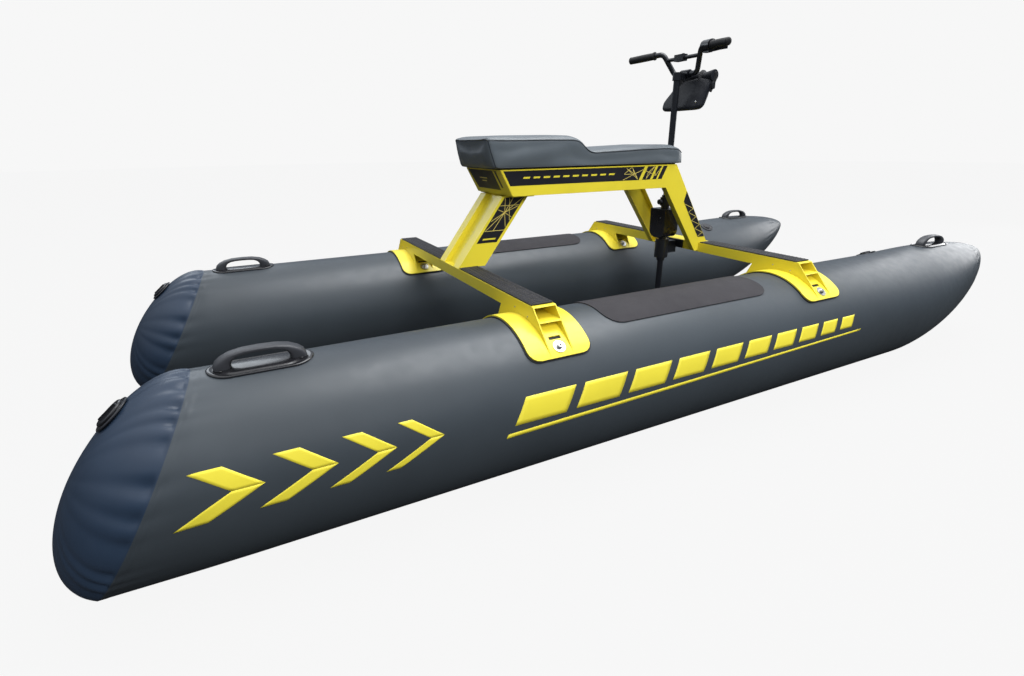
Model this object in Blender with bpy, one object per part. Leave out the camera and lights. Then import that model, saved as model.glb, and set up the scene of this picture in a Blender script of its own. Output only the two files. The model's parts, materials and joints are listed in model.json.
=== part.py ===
"""Twin-pontoon inflatable water bike with a steered, height-adjustable electric thruster.

Frame: metres, +Z up, +Y forward (bow), +X starboard. The origin is on the ground,
under the middle of the boat. Pontoons, cross beams and seat beam stand still; the
steering head turns about the upright column, the column slides through the head,
and the propeller, throttle paddle, button, clamp knob and valve caps move on it.
"""

import math

import bmesh
import bpy
from mathutils import Matrix, Vector

# ---------------------------------------------------------------- driving dimensions
GAP = 0.0003                       # clearance between pieces that touch

PONTOON_R = 0.240
PONTOON_X = 0.597                  # half the distance between the pontoon axes
PONTOON_SIDES = 32                 # one facet lies flat on the ground
PONTOON_WALL = 0.0015
STERN_SEAM_Y = -1.848              # middle of the slanted stern seam
STERN_SLANT = 0.143                # how far the seam's top runs forward of its middle
STERN_BULGE = 0.153
STERN_POWER = 1.95
STERN_TAPER_Y = -1.711
STERN_TAPER = 0.374
STERN_LIFT = -0.090               # the axis drops with the taper, so that the keel stays level
BOW_START_Y = 1.074                # the bow starts to narrow here
BOW_TIP_Y = 2.0037
BOW_TIP_Z = 0.4093
BOW_FULLNESS = 1.930               # how long the bow keeps its full section
BOW_BLUNTNESS = 1.317              # how round the tip is
BOW_SWEEP = 1.505                  # how the axis climbs to the tip

BEAM_HALF = 0.670                  # half length of a cross beam's top edge
BEAM_W = 0.080
BEAM_TOP = 0.532
BEAM_BOTTOM = 0.4905
BEAM_WALL = 0.004
REAR_BEAM_Y = -0.787
FRONT_BEAM_Y = 0.412

SHEET_STEP = math.radians(4)       # widest flat step of a sheet bent over a pontoon
LINER_T = 0.003
SADDLE_T = 0.004
SADDLE_W = 0.210
SADDLE_ANGLE = math.radians(47)
SADDLE_CORNER = 0.036
LINER_MARGIN = 0.004
FOOT_OUT = math.radians(45.5)      # where the gusset meets the saddle, outboard
FOOT_IN = math.radians(43.0)
BOLT_ANGLE = math.radians(39.5)
SLOT_ANGLE = math.radians(32.0)

PAD_ANGLE = math.radians(30)
PAD_Y = (-0.575, 0.165)
PAD_T = 0.003
PAD_CORNER = 0.060

HANDLE_Y = (-1.552, 1.500)
HANDLE_LENGTH = 0.245
HANDLE_HALF_ANGLE = math.radians(12.7)
HANDLE_BASE_T = 0.005
HANDLE_RISE = 0.046
HANDLE_GRIP_W = 0.034

LEG_HALF = 0.100                   # rear leg, half width
LEG_DEPTH = 0.112
LEG_LEAN = 0.75                    # forward shift per unit of height
LEG_WALL = 0.004
LEG_RECESS_HALF = 0.050
LEG_RECESS = 0.025
LEG_TOP = 0.7900
LEG_REAR_Y = -0.826

SIDE_X = 0.156                     # outer face of the seat beam's sides
SIDE_DEPTH = 0.030
SIDE_T = 0.004
SIDE_TOP = 0.889
SIDE_UNDER = 0.793
END_PLATE_T = 0.003
PAN_T = 0.005
SEAT_HALF = 0.163

COLUMN_Y = 0.291                   # steering axis, upright
COLUMN_R = 0.014
COLUMN_TOP = 1.264
COLUMN_FOOT = 0.208
SLEEVE_R = 0.0195
SLEEVE_BORE_R = 0.0145
SLEEVE_Z = (0.430, 0.742)
COLLAR_Z = (0.694, 0.732)
COLLAR_R = 0.026
KNOB_Z = 0.713
HEAD_Z = (0.546, 0.681)
HEAD_W = 0.100
HEAD_D = 0.086
HOUSING_Z = (0.446, 0.536)
BUSH_R = 0.0235

BAR_R = 0.0111
BAR_Y = 0.340
BAR_Z = 1.262
GRIP_R = 0.0158
TRIGGER_PIVOT = (0.148, 0.325, 1.339)

POD_Z = 0.170
POD_R = 0.037
PROP_R = 0.095
BLADES = 3

SIDES = (("starboard", 1), ("port", -1))
BEAMS = (("rear", REAR_BEAM_Y), ("front", FRONT_BEAM_Y))


# ---------------------------------------------------------------- scene and materials
def clear_scene():
    for obj in list(bpy.data.objects):
        bpy.data.objects.remove(obj, do_unlink=True)


def material(name, colour, roughness, metallic=0.0):
    mat = bpy.data.materials.new(name)
    mat.use_nodes = True
    shader = mat.node_tree.nodes["Principled BSDF"]
    shader.inputs["Base Color"].default_value = (*colour, 1.0)
    shader.inputs["Roughness"].default_value = roughness
    shader.inputs["Metallic"].default_value = metallic
    return mat


def make_materials():
    return {
        "pvc": material("pontoon_pvc", (0.060, 0.070, 0.080), 0.42),
        "pad": material("traction_foam", (0.045, 0.042, 0.042), 0.85),
        "yellow": material("yellow_powder_coat", (0.800, 0.700, 0.030), 0.35),
        "rubber": material("black_rubber", (0.015, 0.015, 0.015), 0.70),
        "moulding": material("black_moulding", (0.020, 0.020, 0.022), 0.30),
        "tread": material("tread_rubber", (0.030, 0.030, 0.032), 0.60),
        "vinyl": material("seat_vinyl", (0.090, 0.105, 0.115), 0.50),
        "black_metal": material("black_paint", (0.012, 0.012, 0.015), 0.38),
        "steel": material("stainless_steel", (0.620, 0.610, 0.590), 0.28, 1.0),
        "bag": material("bag_tarpaulin", (0.014, 0.016, 0.020), 0.35),
        "bronze": material("bearing_plastic", (0.600, 0.590, 0.560), 0.50),
        "battery": material("battery_case", (0.030, 0.030, 0.032), 0.55),
    }


# ---------------------------------------------------------------- building blocks
def empty(name, place, parent=None):
    """An axis marker that moving pieces hang on."""
    marker = bpy.data.objects.new(name, None)
    bpy.context.collection.objects.link(marker)
    marker.location = Vector(place) - (world_of(parent) if parent else Vector())
    marker.parent = parent
    return marker


def world_of(obj):
    place = Vector(obj.location)
    while obj.parent:
        obj = obj.parent
        place += obj.location
    return place


def add(name, bm, mat=None, parent=None, smooth=None):
    """Turns a bmesh in world coordinates into an object, with its origin on its parent."""
    bmesh.ops.recalc_face_normals(bm, faces=bm.faces)
    origin = world_of(parent) if parent else Vector()
    bmesh.ops.translate(bm, verts=bm.verts, vec=-origin)
    mesh = bpy.data.meshes.new(name)
    bm.to_mesh(mesh)
    bm.free()
    if smooth is not None:
        mesh.shade_smooth()
        mesh.set_sharp_from_angle(angle=math.radians(smooth))
    obj = bpy.data.objects.new(name, mesh)
    bpy.context.collection.objects.link(obj)
    obj.parent = parent
    if mat:
        mesh.materials.append(mat)
    return obj


def boolean(obj, name, bm, operation):
    """Cuts a helper shape from the object, or fuses it on."""
    helper = add(f"{obj.name}_{name}", bm, parent=obj.parent)
    helper.hide_render = True
    helper.display_type = "WIRE"
    modifier = obj.modifiers.new(name, "BOOLEAN")
    modifier.object = helper
    modifier.operation = operation
    return obj


def bevel(obj, width, segments=2, angle=40):
    modifier = obj.modifiers.new("edges", "BEVEL")
    modifier.width = width
    modifier.segments = segments
    modifier.limit_method = "ANGLE"
    modifier.angle_limit = math.radians(angle)
    return obj


def merge(target, source):
    """Copies one bmesh into another."""
    mesh = bpy.data.meshes.new("scratch")
    source.to_mesh(mesh)
    source.free()
    target.from_mesh(mesh)
    bpy.data.meshes.remove(mesh)
    return target


def block(low, high):
    bm = bmesh.new()
    size = Vector(high) - Vector(low)
    middle = (Vector(high) + Vector(low)) / 2
    bmesh.ops.create_cube(bm, size=1.0, matrix=Matrix.Translation(middle) @ Matrix.Diagonal((*size, 1)))
    return bm


def prism(outline, axis, low, high):
    """Extrudes a closed outline along X, Y or Z. The outline holds the other two coordinates."""
    bm = bmesh.new()
    index = "XYZ".index(axis)

    def place(pair, level):
        values = list(pair)
        values.insert(index, level)
        return Vector(values)

    face = bm.faces.new([bm.verts.new(place(pair, low)) for pair in outline])
    grown = bmesh.ops.extrude_face_region(bm, geom=[face])["geom"]
    moved = [item for item in grown if isinstance(item, bmesh.types.BMVert)]
    shift = Vector()
    shift[index] = high - low
    bmesh.ops.translate(bm, verts=moved, vec=shift)
    return bm


def turned(profile, centre, axis, steps=24, closed=False):
    """A solid of revolution: profile points are (radius, height along the axis)."""
    bm = bmesh.new()
    axis = Vector(axis).normalized()
    across = axis.orthogonal().normalized()
    other = axis.cross(across)
    rings = []
    for radius, height in profile:
        middle = Vector(centre) + axis * height
        if radius < 1e-6:
            rings.append([bm.verts.new(middle)])
            continue
        ring = []
        for step in range(steps):
            angle = 2 * math.pi * step / steps
            out = across * math.cos(angle) + other * math.sin(angle)
            ring.append(bm.verts.new(middle + out * radius))
        rings.append(ring)
    pairs = list(zip(rings, rings[1:]))
    if closed:
        pairs.append((rings[-1], rings[0]))
    for first, second in pairs:
        bridge(bm, first, second)
    if not closed:
        for ring in (rings[0], rings[-1]):
            if len(ring) > 1:
                bm.faces.new(ring)
    return bm


def bridge(bm, first, second):
    count = max(len(first), len(second))
    for step in range(count):
        following = (step + 1) % count
        if len(first) == 1:
            bm.faces.new((first[0], second[following], second[step]))
        elif len(second) == 1:
            bm.faces.new((first[step], first[following], second[0]))
        else:
            bm.faces.new((first[step], first[following], second[following], second[step]))


def rod(radius, start, end, steps=16):
    start = Vector(start)
    along = Vector(end) - start
    return turned([(radius, 0), (radius, along.length)], start, along, steps)


def pipe(outer, inner, start, end, steps=24):
    start = Vector(start)
    along = Vector(end) - start
    length = along.length
    profile = [(outer, 0), (outer, length), (inner, length), (inner, 0)]
    return turned(profile, start, along, steps, closed=True)


def smooth_path(corners, radius_steps=5, reach=0.020):
    """Rounds the corners of a route, each with a short quadratic curve."""
    points = [Vector(corners[0])]
    for before, corner, after in zip(corners, corners[1:], corners[2:]):
        start = corner + (before - corner).normalized() * reach
        end = corner + (after - corner).normalized() * reach
        for step in range(radius_steps + 1):
            t = step / radius_steps
            points.append(start.lerp(corner, t).lerp(corner.lerp(end, t), t))
    points.append(Vector(corners[-1]))
    return points


def swept(points, radius, steps=14):
    """A round bar along a route of points."""
    bm = bmesh.new()
    side = None
    rings = []
    for index, point in enumerate(points):
        before = points[max(index - 1, 0)]
        after = points[min(index + 1, len(points) - 1)]
        along = (after - before).normalized()
        side = along.orthogonal() if side is None else side - along * side.dot(along)
        side.normalize()
        other = along.cross(side)
        ring = []
        for step in range(steps):
            angle = 2 * math.pi * step / steps
            out = side * math.cos(angle) + other * math.sin(angle)
            ring.append(bm.verts.new(point + out * radius))
        rings.append(ring)
    for first, second in zip(rings, rings[1:]):
        bridge(bm, first, second)
    bm.faces.new(rings[0])
    bm.faces.new(rings[-1])
    return bm


# ---------------------------------------------------------------- pontoons
def section(y):
    """Scale and lift of the pontoon's round section at this station."""
    stern = max(STERN_TAPER_Y - y, 0.0)
    bow = min(max((y - BOW_START_Y) / (BOW_TIP_Y - BOW_START_Y), 0.0), 1.0)
    scale = (1 - STERN_TAPER * stern) * max(1 - bow**BOW_FULLNESS, 0.0) ** (1 / BOW_BLUNTNESS)
    lift = STERN_LIFT * stern + (BOW_TIP_Z - PONTOON_R) * bow**BOW_SWEEP
    return scale, lift


def corner_radius():
    """Radius to the corners of the faceted section, whose flats are PONTOON_R out."""
    return PONTOON_R / math.cos(math.pi / PONTOON_SIDES)


def skin(side, angle, y, offset=0.0):
    """A point over the pontoon's skin. The angle runs from the top, outboard positive."""
    scale, lift = section(y)
    radius = corner_radius() * scale + offset
    x = side * (PONTOON_X + radius * math.sin(angle))
    return Vector((x, y, PONTOON_R + lift + radius * math.cos(angle)))


def ring_angles():
    return [2 * math.pi * (step + 0.5) / PONTOON_SIDES for step in range(PONTOON_SIDES)]


def end_point(side, angle, around, end):
    """A point of a domed end panel. around is 0 at its middle and pi/2 at its slanted seam."""
    seam_y, slant, bulge, power, heading = end
    rho = math.sin(around) ** (2 / power)
    proud = bulge * math.cos(around) ** (2 / power)
    tilt = math.atan2(slant, PONTOON_R)
    y = seam_y + slant * rho * math.cos(angle) + heading * proud * math.cos(tilt)
    scale, lift = section(y)
    radius = corner_radius() * rho
    up = radius * math.cos(angle) - heading * proud * math.sin(tilt)
    x = side * (PONTOON_X + radius * math.sin(angle) * scale)
    return Vector((x, y, max(PONTOON_R + lift + up * scale, 0.0)))


def end_ring(bm, side, around, end):
    if around < 1e-6:
        return [bm.verts.new(end_point(side, 0.0, 0.0, end))]
    return [bm.verts.new(end_point(side, angle, around, end)) for angle in ring_angles()]


STERN = (STERN_SEAM_Y, STERN_SLANT, STERN_BULGE, STERN_POWER, -1)


def pontoon(name, side, mat):
    bm = bmesh.new()
    dome = [math.pi / 2 * step / 7 for step in range(8)]
    rings = [end_ring(bm, side, around, STERN) for around in dome]
    corner = []
    for angle, seam in zip(ring_angles(), rings[-1]):
        corner.append(bm.verts.new(skin(side, angle, max(STERN_TAPER_Y, seam.co.y + 0.015))))
    rings.append(corner)
    length = BOW_TIP_Y - BOW_START_Y
    bow = [BOW_START_Y + length * share for share in (0, 0.14, 0.28, 0.42, 0.56, 0.70, 0.82, 0.91, 0.965, 0.990)]
    for y in [-0.60, 0.05, 0.60] + bow:
        rings.append([bm.verts.new(skin(side, angle, y)) for angle in ring_angles()])
    rings.append([bm.verts.new((side * PONTOON_X, BOW_TIP_Y, BOW_TIP_Z))])
    for first, second in zip(rings, rings[1:]):
        bridge(bm, first, second)
    obj = add(name, bm, mat, smooth=40)
    wall = obj.modifiers.new("skin", "SOLIDIFY")
    wall.thickness = PONTOON_WALL
    wall.offset = -1.0
    place, normal = valve_seat(side)
    boolean(obj, "valve_hole", rod(0.027, place - normal * 0.03, place + normal * 0.03), "DIFFERENCE")
    return obj


def valve_seat(side):
    """Where the inflation valve sits on the stern panel, and which way it faces."""
    around = math.radians(37)
    place = end_point(side, 0.0, around, STERN)
    along = end_point(side, 0.0, around + 0.02, STERN) - end_point(side, 0.0, around - 0.02, STERN)
    normal = along.cross(Vector((1, 0, 0))).normalized()
    if normal.z < 0:
        normal.negate()
    return place, normal


def clear_of_facets(radius, offsets):
    """Offsets raised so that the middle of each flat step keeps the wanted distance."""
    return [(radius + offset) / math.cos(SHEET_STEP / 2) - radius for offset in offsets]


def arched_sheet(side, ys, angles, corner, offsets, y_steps=1):
    """A sheet bent over the pontoon, with rounded corners. offsets: its inner and outer faces."""
    low_y, high_y = ys
    low, high = angles
    radius = corner_radius() * section((low_y + high_y) / 2)[0]
    steps = 4
    curl = [corner * (1 - math.cos(math.pi / 2 * step / steps)) / radius for step in range(steps + 1)]
    middle = max(2, math.ceil((high - low - 2 * curl[-1]) / SHEET_STEP))
    inner_span = [low + curl[-1] + (high - low - 2 * curl[-1]) * step / middle for step in range(1, middle)]
    stations = [low + turn for turn in curl] + inner_span + [high - turn for turn in reversed(curl)]
    bm = bmesh.new()
    layers = []
    for offset in clear_of_facets(radius, offsets):
        rows = []
        for angle in stations:
            edge = min(angle - low, high - angle) * radius
            short = max(corner - edge, 0.0)
            inset = 0.97 * (corner - math.sqrt(max(corner**2 - short**2, 0.0)))
            row = []
            for step in range(y_steps + 1):
                y = low_y + inset + (high_y - low_y - 2 * inset) * step / y_steps
                row.append(bm.verts.new(skin(side, angle, y, offset)))
            rows.append(row)
        for first, second in zip(rows, rows[1:]):
            for step in range(y_steps):
                bm.faces.new((first[step], first[step + 1], second[step + 1], second[step]))
        layers.append(rows)
    inner, outer = layers

    def rim(below, above):
        for step in range(len(below) - 1):
            bm.faces.new((below[step], below[step + 1], above[step + 1], above[step]))

    rim(inner[0], outer[0])
    rim(inner[-1], outer[-1])
    rim([row[0] for row in inner], [row[0] for row in outer])
    rim([row[-1] for row in inner], [row[-1] for row in outer])
    return bm


def make_pontoons(mats):
    for name, side in SIDES:
        pontoon(f"pontoon_{name}", side, mats["pvc"])
        pad = arched_sheet(side, PAD_Y, (-PAD_ANGLE, PAD_ANGLE), PAD_CORNER, (GAP, GAP + PAD_T))
        add(f"traction_pad_{name}", pad, mats["pad"], smooth=30)
        for end, middle in zip(("stern", "bow"), HANDLE_Y):
            carry_handle(f"carry_handle_{end}_{name}", side, middle, mats["moulding"])
        relief_valve(f"relief_valve_{name}", side, mats["moulding"])
        inflation_valve(name, side, mats["moulding"])


def carry_handle(name, side, middle, mat):
    """A base flange bent to the pontoon, with an arched grip over a finger slot."""
    half = HANDLE_LENGTH / 2
    lift_off = 0.0008
    half_angle = HANDLE_HALF_ANGLE / section(middle)[0]
    base = arched_sheet(
        side,
        (middle - half, middle + half),
        (-half_angle, half_angle),
        0.050,
        (lift_off, lift_off + HANDLE_BASE_T),
        y_steps=4,
    )
    obj = add(name, base, mat, smooth=35)
    foot = skin(side, 0.0, middle, lift_off + HANDLE_BASE_T).z
    outer = [(0.102, -0.0042), (0.100, 0.017), (0.064, 0.036), (0.032, HANDLE_RISE - 0.003)]
    slot = [(0.044, 0.030), (0.052, 0.020), (0.054, -0.0042)]
    outline = [(middle - y, foot + z) for y, z in outer]
    outline += [(middle + y, foot + z) for y, z in reversed(outer)]
    outline += [(middle + y, foot + z) for y, z in reversed(slot)]
    outline += [(middle - y, foot + z) for y, z in slot]
    x = side * PONTOON_X
    grip = prism(outline, "X", x - HANDLE_GRIP_W / 2, x + HANDLE_GRIP_W / 2)
    return boolean(obj, "grip", grip, "UNION")


def relief_valve(name, side, mat):
    """A round over-pressure valve on the inboard shoulder of the bow."""
    y, angle, radius = 1.140, -math.radians(24), 0.040
    reach = radius / (corner_radius() * section(y)[0])
    patch = arched_sheet(
        side, (y - radius, y + radius), (angle - reach, angle + reach), radius, (0.0010, 0.0045), y_steps=2
    )
    obj = add(name, patch, mat, smooth=35)
    out = Vector((side * math.sin(angle), 0, math.cos(angle)))
    boss = turned([(0, 0.0030), (0.024, 0.0030), (0.022, 0.0085), (0.012, 0.0100), (0, 0.0100)],
                  skin(side, angle, y), out, 20)
    return boolean(obj, "boss", boss, "UNION")


def inflation_valve(name, side, mat):
    place, normal = valve_seat(side)
    body = [(0, -0.028), (0.024, -0.028), (0.024, 0.0008), (0.045, 0.0008), (0.045, 0.0035),
            (0.040, 0.0055), (0.020, 0.0055), (0.020, 0.0025), (0, 0.0025)]
    add(f"valve_base_{name}", turned(body, place, normal, 24), mat, smooth=35)
    axis = empty(f"valve_axis_{name}", place)
    cap = [(0, 0.0035), (0.0190, 0.0035), (0.0190, 0.0060), (0.0350, 0.0060), (0.0350, 0.0090),
           (0.0325, 0.0110), (0, 0.0110)]
    obj = add(f"valve_cap_{name}", turned(cap, place, normal, 24), mat, axis, smooth=35)
    grip = block((-0.0035, -0.024, 0.0105), (0.0035, 0.024, 0.0150))
    turn = Vector((0, 0, 1)).rotation_difference(normal).to_matrix().to_4x4()
    bmesh.ops.transform(grip, matrix=Matrix.Translation(place) @ turn, verts=grip.verts)
    return boolean(obj, "finger_bar", grip, "UNION")


# ---------------------------------------------------------------- cross beams and saddles
def saddle_stack():
    """Offsets from the pontoon's skin of the liner's and the saddle's faces."""
    liner = (GAP, GAP + LINER_T)
    saddle = (liner[1] + GAP, liner[1] + GAP + SADDLE_T)
    return liner, saddle


def radial_block(side, angle, y, size):
    """A block centred on the saddle, with its depth along the pontoon's radius."""
    bm = block([-value / 2 for value in size], [value / 2 for value in size])
    turn = Matrix.Rotation(side * angle, 4, "Y")
    place = Matrix.Translation(skin(side, angle, y, 0.006))
    bmesh.ops.transform(bm, matrix=place @ turn, verts=bm.verts)
    return bm


def saddle_mount(end, beam_y, name, side, mats):
    liner, saddle = saddle_stack()
    half = SADDLE_W / 2
    ys = (beam_y - half, beam_y + half)
    wide = (ys[0] - LINER_MARGIN, ys[1] + LINER_MARGIN)
    edge = LINER_MARGIN / PONTOON_R
    rubber = arched_sheet(side, wide, (-SADDLE_ANGLE - edge, SADDLE_ANGLE + edge), SADDLE_CORNER, liner)
    plate = arched_sheet(side, ys, (-SADDLE_ANGLE, SADDLE_ANGLE), SADDLE_CORNER, saddle)
    rubber = add(f"saddle_liner_{end}_{name}", rubber, mats["rubber"], smooth=30)
    plate = add(f"saddle_{end}_{name}", plate, mats["yellow"], smooth=30)
    slots = bmesh.new()
    holes = bmesh.new()
    for place, turn in (("outboard", 1), ("inboard", -1)):
        angle = turn * BOLT_ANGLE
        out = Vector((side * math.sin(angle), 0, math.cos(angle)))
        merge(holes, rod(0.0048, skin(side, angle, beam_y, -0.004), skin(side, angle, beam_y, 0.016), 12))
        merge(slots, radial_block(side, turn * SLOT_ANGLE, beam_y, (0.012, 0.040, 0.016)))
        bolt = [(0, -0.0070), (0.0042, -0.0070), (0.0042, GAP), (0.0200, GAP), (0.0200, 0.0022),
                (0.0085, 0.0022), (0.0085, 0.0085), (0.0070, 0.0100), (0.0032, 0.0100),
                (0.0032, 0.0060), (0, 0.0060)]
        add(f"saddle_bolt_{end}_{name}_{place}",
            turned(bolt, skin(side, angle, beam_y, saddle[1]), out, 18), mats["steel"], smooth=30)
    boolean(rubber, "bolt_holes", holes.copy(), "DIFFERENCE")
    merge(slots, holes)
    boolean(plate, "slots_and_holes", slots, "DIFFERENCE")


def beam_outline():
    """One closed outline of the beam and its gussets, seen along the boat."""
    foot = clear_of_facets(corner_radius(), [saddle_stack()[1][1] + GAP])[0]
    right = [(0.461, BEAM_BOTTOM)]
    steps = math.ceil((FOOT_OUT + FOOT_IN) / SHEET_STEP)
    for step in range(steps + 1):
        angle = -FOOT_IN + (FOOT_OUT + FOOT_IN) * step / steps
        point = skin(1, angle, 0.0, foot)
        right.append((point.x, point.z))
    right.append((BEAM_HALF, BEAM_TOP))
    return right + [(-x, z) for x, z in reversed(right)]


def cross_beam(end, beam_y, mats):
    half = BEAM_W / 2
    obj = add(f"crossbeam_{end}", prism(beam_outline(), "Y", beam_y - half, beam_y + half), mats["yellow"])
    inside = half - BEAM_WALL
    bore = block((-0.9, beam_y - inside, BEAM_BOTTOM + BEAM_WALL), (0.9, beam_y + inside, BEAM_TOP - BEAM_WALL))
    for side in (1, -1):
        low, high = sorted((side * 0.36, side * 0.90))
        merge(bore, block((low, beam_y - inside, 0.36), (high, beam_y + inside, BEAM_BOTTOM)))
    boolean(obj, "hollow", bore, "DIFFERENCE")
    inner_end = {"rear": LEG_HALF + 0.005, "front": SIDE_X + 0.006}[end]
    for name, side in SIDES:
        low, high = sorted((side * inner_end, side * (BEAM_HALF - 0.012)))
        tread = block((low, beam_y - half + 0.002, BEAM_TOP + GAP), (high, beam_y + half - 0.002, BEAM_TOP + 0.0045))
        add(f"tread_{end}_{name}", tread, mats["tread"])
        saddle_mount(end, beam_y, name, side, mats)


# ---------------------------------------------------------------- seat frame
def rear_leg(mats):
    """A lipped hollow post that leans forward, closed by a flange under the seat beam."""
    wall, recess, half = LEG_WALL, LEG_RECESS, LEG_RECESS_HALF

    def loop(bm, z, inset):
        shift = LEG_REAR_Y + (z - BEAM_TOP) * LEG_LEAN
        right = [(half + inset, recess + inset), (half + inset, inset), (LEG_HALF - inset, inset),
                 (LEG_HALF - inset, LEG_DEPTH - inset)]
        outline = right + [(-x, y) for x, y in reversed(right)]
        return [bm.verts.new((x, shift + y, z)) for x, y in outline]

    bm = bmesh.new()
    foot = BEAM_TOP + GAP
    loops = [loop(bm, foot, 0), loop(bm, LEG_TOP, 0), loop(bm, LEG_TOP, wall), loop(bm, foot, wall)]
    for first, second in zip(loops, loops[1:] + loops[:1]):
        bridge(bm, first, second)
    obj = add("rear_leg", bm, mats["yellow"])
    rear = LEG_REAR_Y + (LEG_TOP - BEAM_TOP) * LEG_LEAN
    flange = block((-0.146, -0.612, LEG_TOP - 0.0005), (0.146, rear + LEG_DEPTH, SIDE_UNDER - GAP))
    return boolean(obj, "top_flange", flange, "UNION")


def side_outline():
    """Side of the seat beam and its front leg, seen from the side: (y, z)."""
    beam_rear = FRONT_BEAM_Y - BEAM_W / 2 - GAP
    beam_top = BEAM_TOP + GAP
    return [(-0.616, SIDE_UNDER), (0.135, SIDE_UNDER), (0.349, 0.496), (beam_rear, 0.496),
            (beam_rear, beam_top), (0.424, beam_top), (0.187, SIDE_TOP), (-0.667, SIDE_TOP)]


def seat_side(name, side, mat):
    """A pressed tray: a flat outer web with a flange all round."""
    outer, inner = side * SIDE_X, side * (SIDE_X - SIDE_DEPTH)
    bm = prism(side_outline(), "X", outer, inner)
    bm.faces.ensure_lookup_table()
    cap = max(bm.faces, key=lambda face: -abs(face.calc_center_median().x))
    bmesh.ops.recalc_face_normals(bm, faces=bm.faces)
    bmesh.ops.inset_region(bm, faces=[cap], thickness=SIDE_T, use_even_offset=True)
    pocket = bmesh.ops.extrude_discrete_faces(bm, faces=[cap])["faces"]
    depth = side * (SIDE_DEPTH - SIDE_T)
    bmesh.ops.translate(bm, verts=pocket[0].verts, vec=(depth, 0, 0))
    return add(f"seat_side_{name}", bm, mat)


def seat_frame(mats):
    rear_leg(mats)
    for name, side in SIDES:
        seat_side(name, side, mats["yellow"])
    outline = side_outline()
    under, top = outline[0], outline[-1]
    near = [(top[0] - 1.2 * GAP, top[1]), (under[0] - 1.2 * GAP, under[1])]
    plate = near + [(y - END_PLATE_T, z) for y, z in reversed(near)]
    add("seat_end_plate", prism(plate, "X", -SIDE_X, SIDE_X), mats["yellow"])
    pan_low = SIDE_TOP + GAP
    pan = block((-0.150, -0.664, pan_low), (0.150, 0.182, pan_low + PAN_T))
    add("seat_pan", pan, mats["black_metal"])
    seat_low = pan_low + PAN_T + GAP
    cushion = [(-0.683, seat_low), (0.208, seat_low), (0.212, 0.940), (0.112, 0.956), (-0.262, 0.950),
               (-0.300, 0.964), (-0.330, 0.993), (-0.709, 0.991)]
    bevel(add("seat_cushion", prism(cushion, "X", -SEAT_HALF, SEAT_HALF), mats["vinyl"]), 0.010, 2, 50)
    floor = SIDE_UNDER + SIDE_T + GAP
    battery = block((-0.145, -0.440, floor), (0.145, -0.060, floor + 0.070))
    bevel(add("battery_pack", battery, mats["battery"]), 0.006, 2)


# ---------------------------------------------------------------- steering head
def steering(mats):
    """The bracket on the front beam, then everything that turns about the upright axis."""
    centre = Vector((0, COLUMN_Y, 0))
    beam_face = FRONT_BEAM_Y - BEAM_W / 2 - GAP
    low, high = HOUSING_Z
    bracket = add("steering_bracket", rod(0.0325, centre + Vector((0, 0, low)), centre + Vector((0, 0, high)), 28),
                  mats["black_metal"], smooth=35)
    boolean(bracket, "arm", block((-0.018, COLUMN_Y, 0.466), (0.018, beam_face - 0.003, 0.524)), "UNION")
    boolean(bracket, "plate", block((-0.060, beam_face - 0.006, 0.4925), (0.060, beam_face, 0.5300)), "UNION")
    boolean(bracket, "bore", rod(BUSH_R + GAP, centre + Vector((0, 0, 0.40)), centre + Vector((0, 0, 0.60)), 28),
            "DIFFERENCE")
    bush = pipe(BUSH_R, SLEEVE_R + GAP, centre + Vector((0, 0, low)), centre + Vector((0, 0, high)), 28)
    add("steering_bush", bush, mats["bronze"], smooth=35)

    axis = empty("steering_axis", (0, COLUMN_Y, HEAD_Z[0]))
    profile = [(SLEEVE_R, SLEEVE_Z[0]), (SLEEVE_R, COLLAR_Z[0]), (COLLAR_R, COLLAR_Z[0]), (COLLAR_R, COLLAR_Z[1]),
               (SLEEVE_R, COLLAR_Z[1]), (SLEEVE_R, SLEEVE_Z[1]), (SLEEVE_BORE_R, SLEEVE_Z[1]),
               (SLEEVE_BORE_R, SLEEVE_Z[0])]
    sleeve = add("steering_sleeve", turned(profile, centre, (0, 0, 1), 28, closed=True),
                 mats["black_metal"], axis, smooth=35)
    screw = Vector((0, COLUMN_Y, KNOB_Z))
    aft = Vector((0, -1, 0))
    boolean(sleeve, "screw_hole", rod(0.0046, screw + aft * 0.008, screw + aft * 0.034, 14), "DIFFERENCE")
    drive_head(mats, axis, centre)
    knob_axis = empty("knob_axis", screw, axis)
    knob = [(0, 0.0150), (0.0040, 0.0150), (0.0040, 0.0265), (0.0110, 0.0265), (0.0125, 0.0290),
            (0.0125, 0.0420), (0.0100, 0.0450), (0, 0.0450)]
    add("clamp_knob", turned(knob, screw, aft, 12), mats["moulding"], knob_axis)
    return axis


def drive_head(mats, axis, centre):
    """The controller case: a box with a deeply rounded underside, round the sleeve."""
    low, high = HEAD_Z
    half, rounding, steps = HEAD_W / 2, 0.036, 6
    right = []
    for step in range(steps + 1):
        angle = math.pi / 2 * step / steps
        right.append((half - rounding + rounding * math.sin(angle), low + rounding - rounding * math.cos(angle)))
    right.append((half, high))
    outline = right + [(-x, z) for x, z in reversed(right)]
    head = add("drive_head", prism(outline, "Y", COLUMN_Y - HEAD_D / 2, COLUMN_Y + HEAD_D / 2),
               mats["moulding"], axis, smooth=35)
    boolean(head, "bore", rod(SLEEVE_R + GAP, centre + Vector((0, 0, 0.5)), centre + Vector((0, 0, 0.75)), 28),
            "DIFFERENCE")


# ---------------------------------------------------------------- sliding column
def bar_corners():
    """Half of the handlebar's route, from the stem outwards."""
    return [Vector((0, BAR_Y, BAR_Z)), Vector((0.066, BAR_Y, BAR_Z)), Vector((0.112, 0.302, 1.352)),
            Vector((0.285, 0.262, 1.344))]


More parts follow.
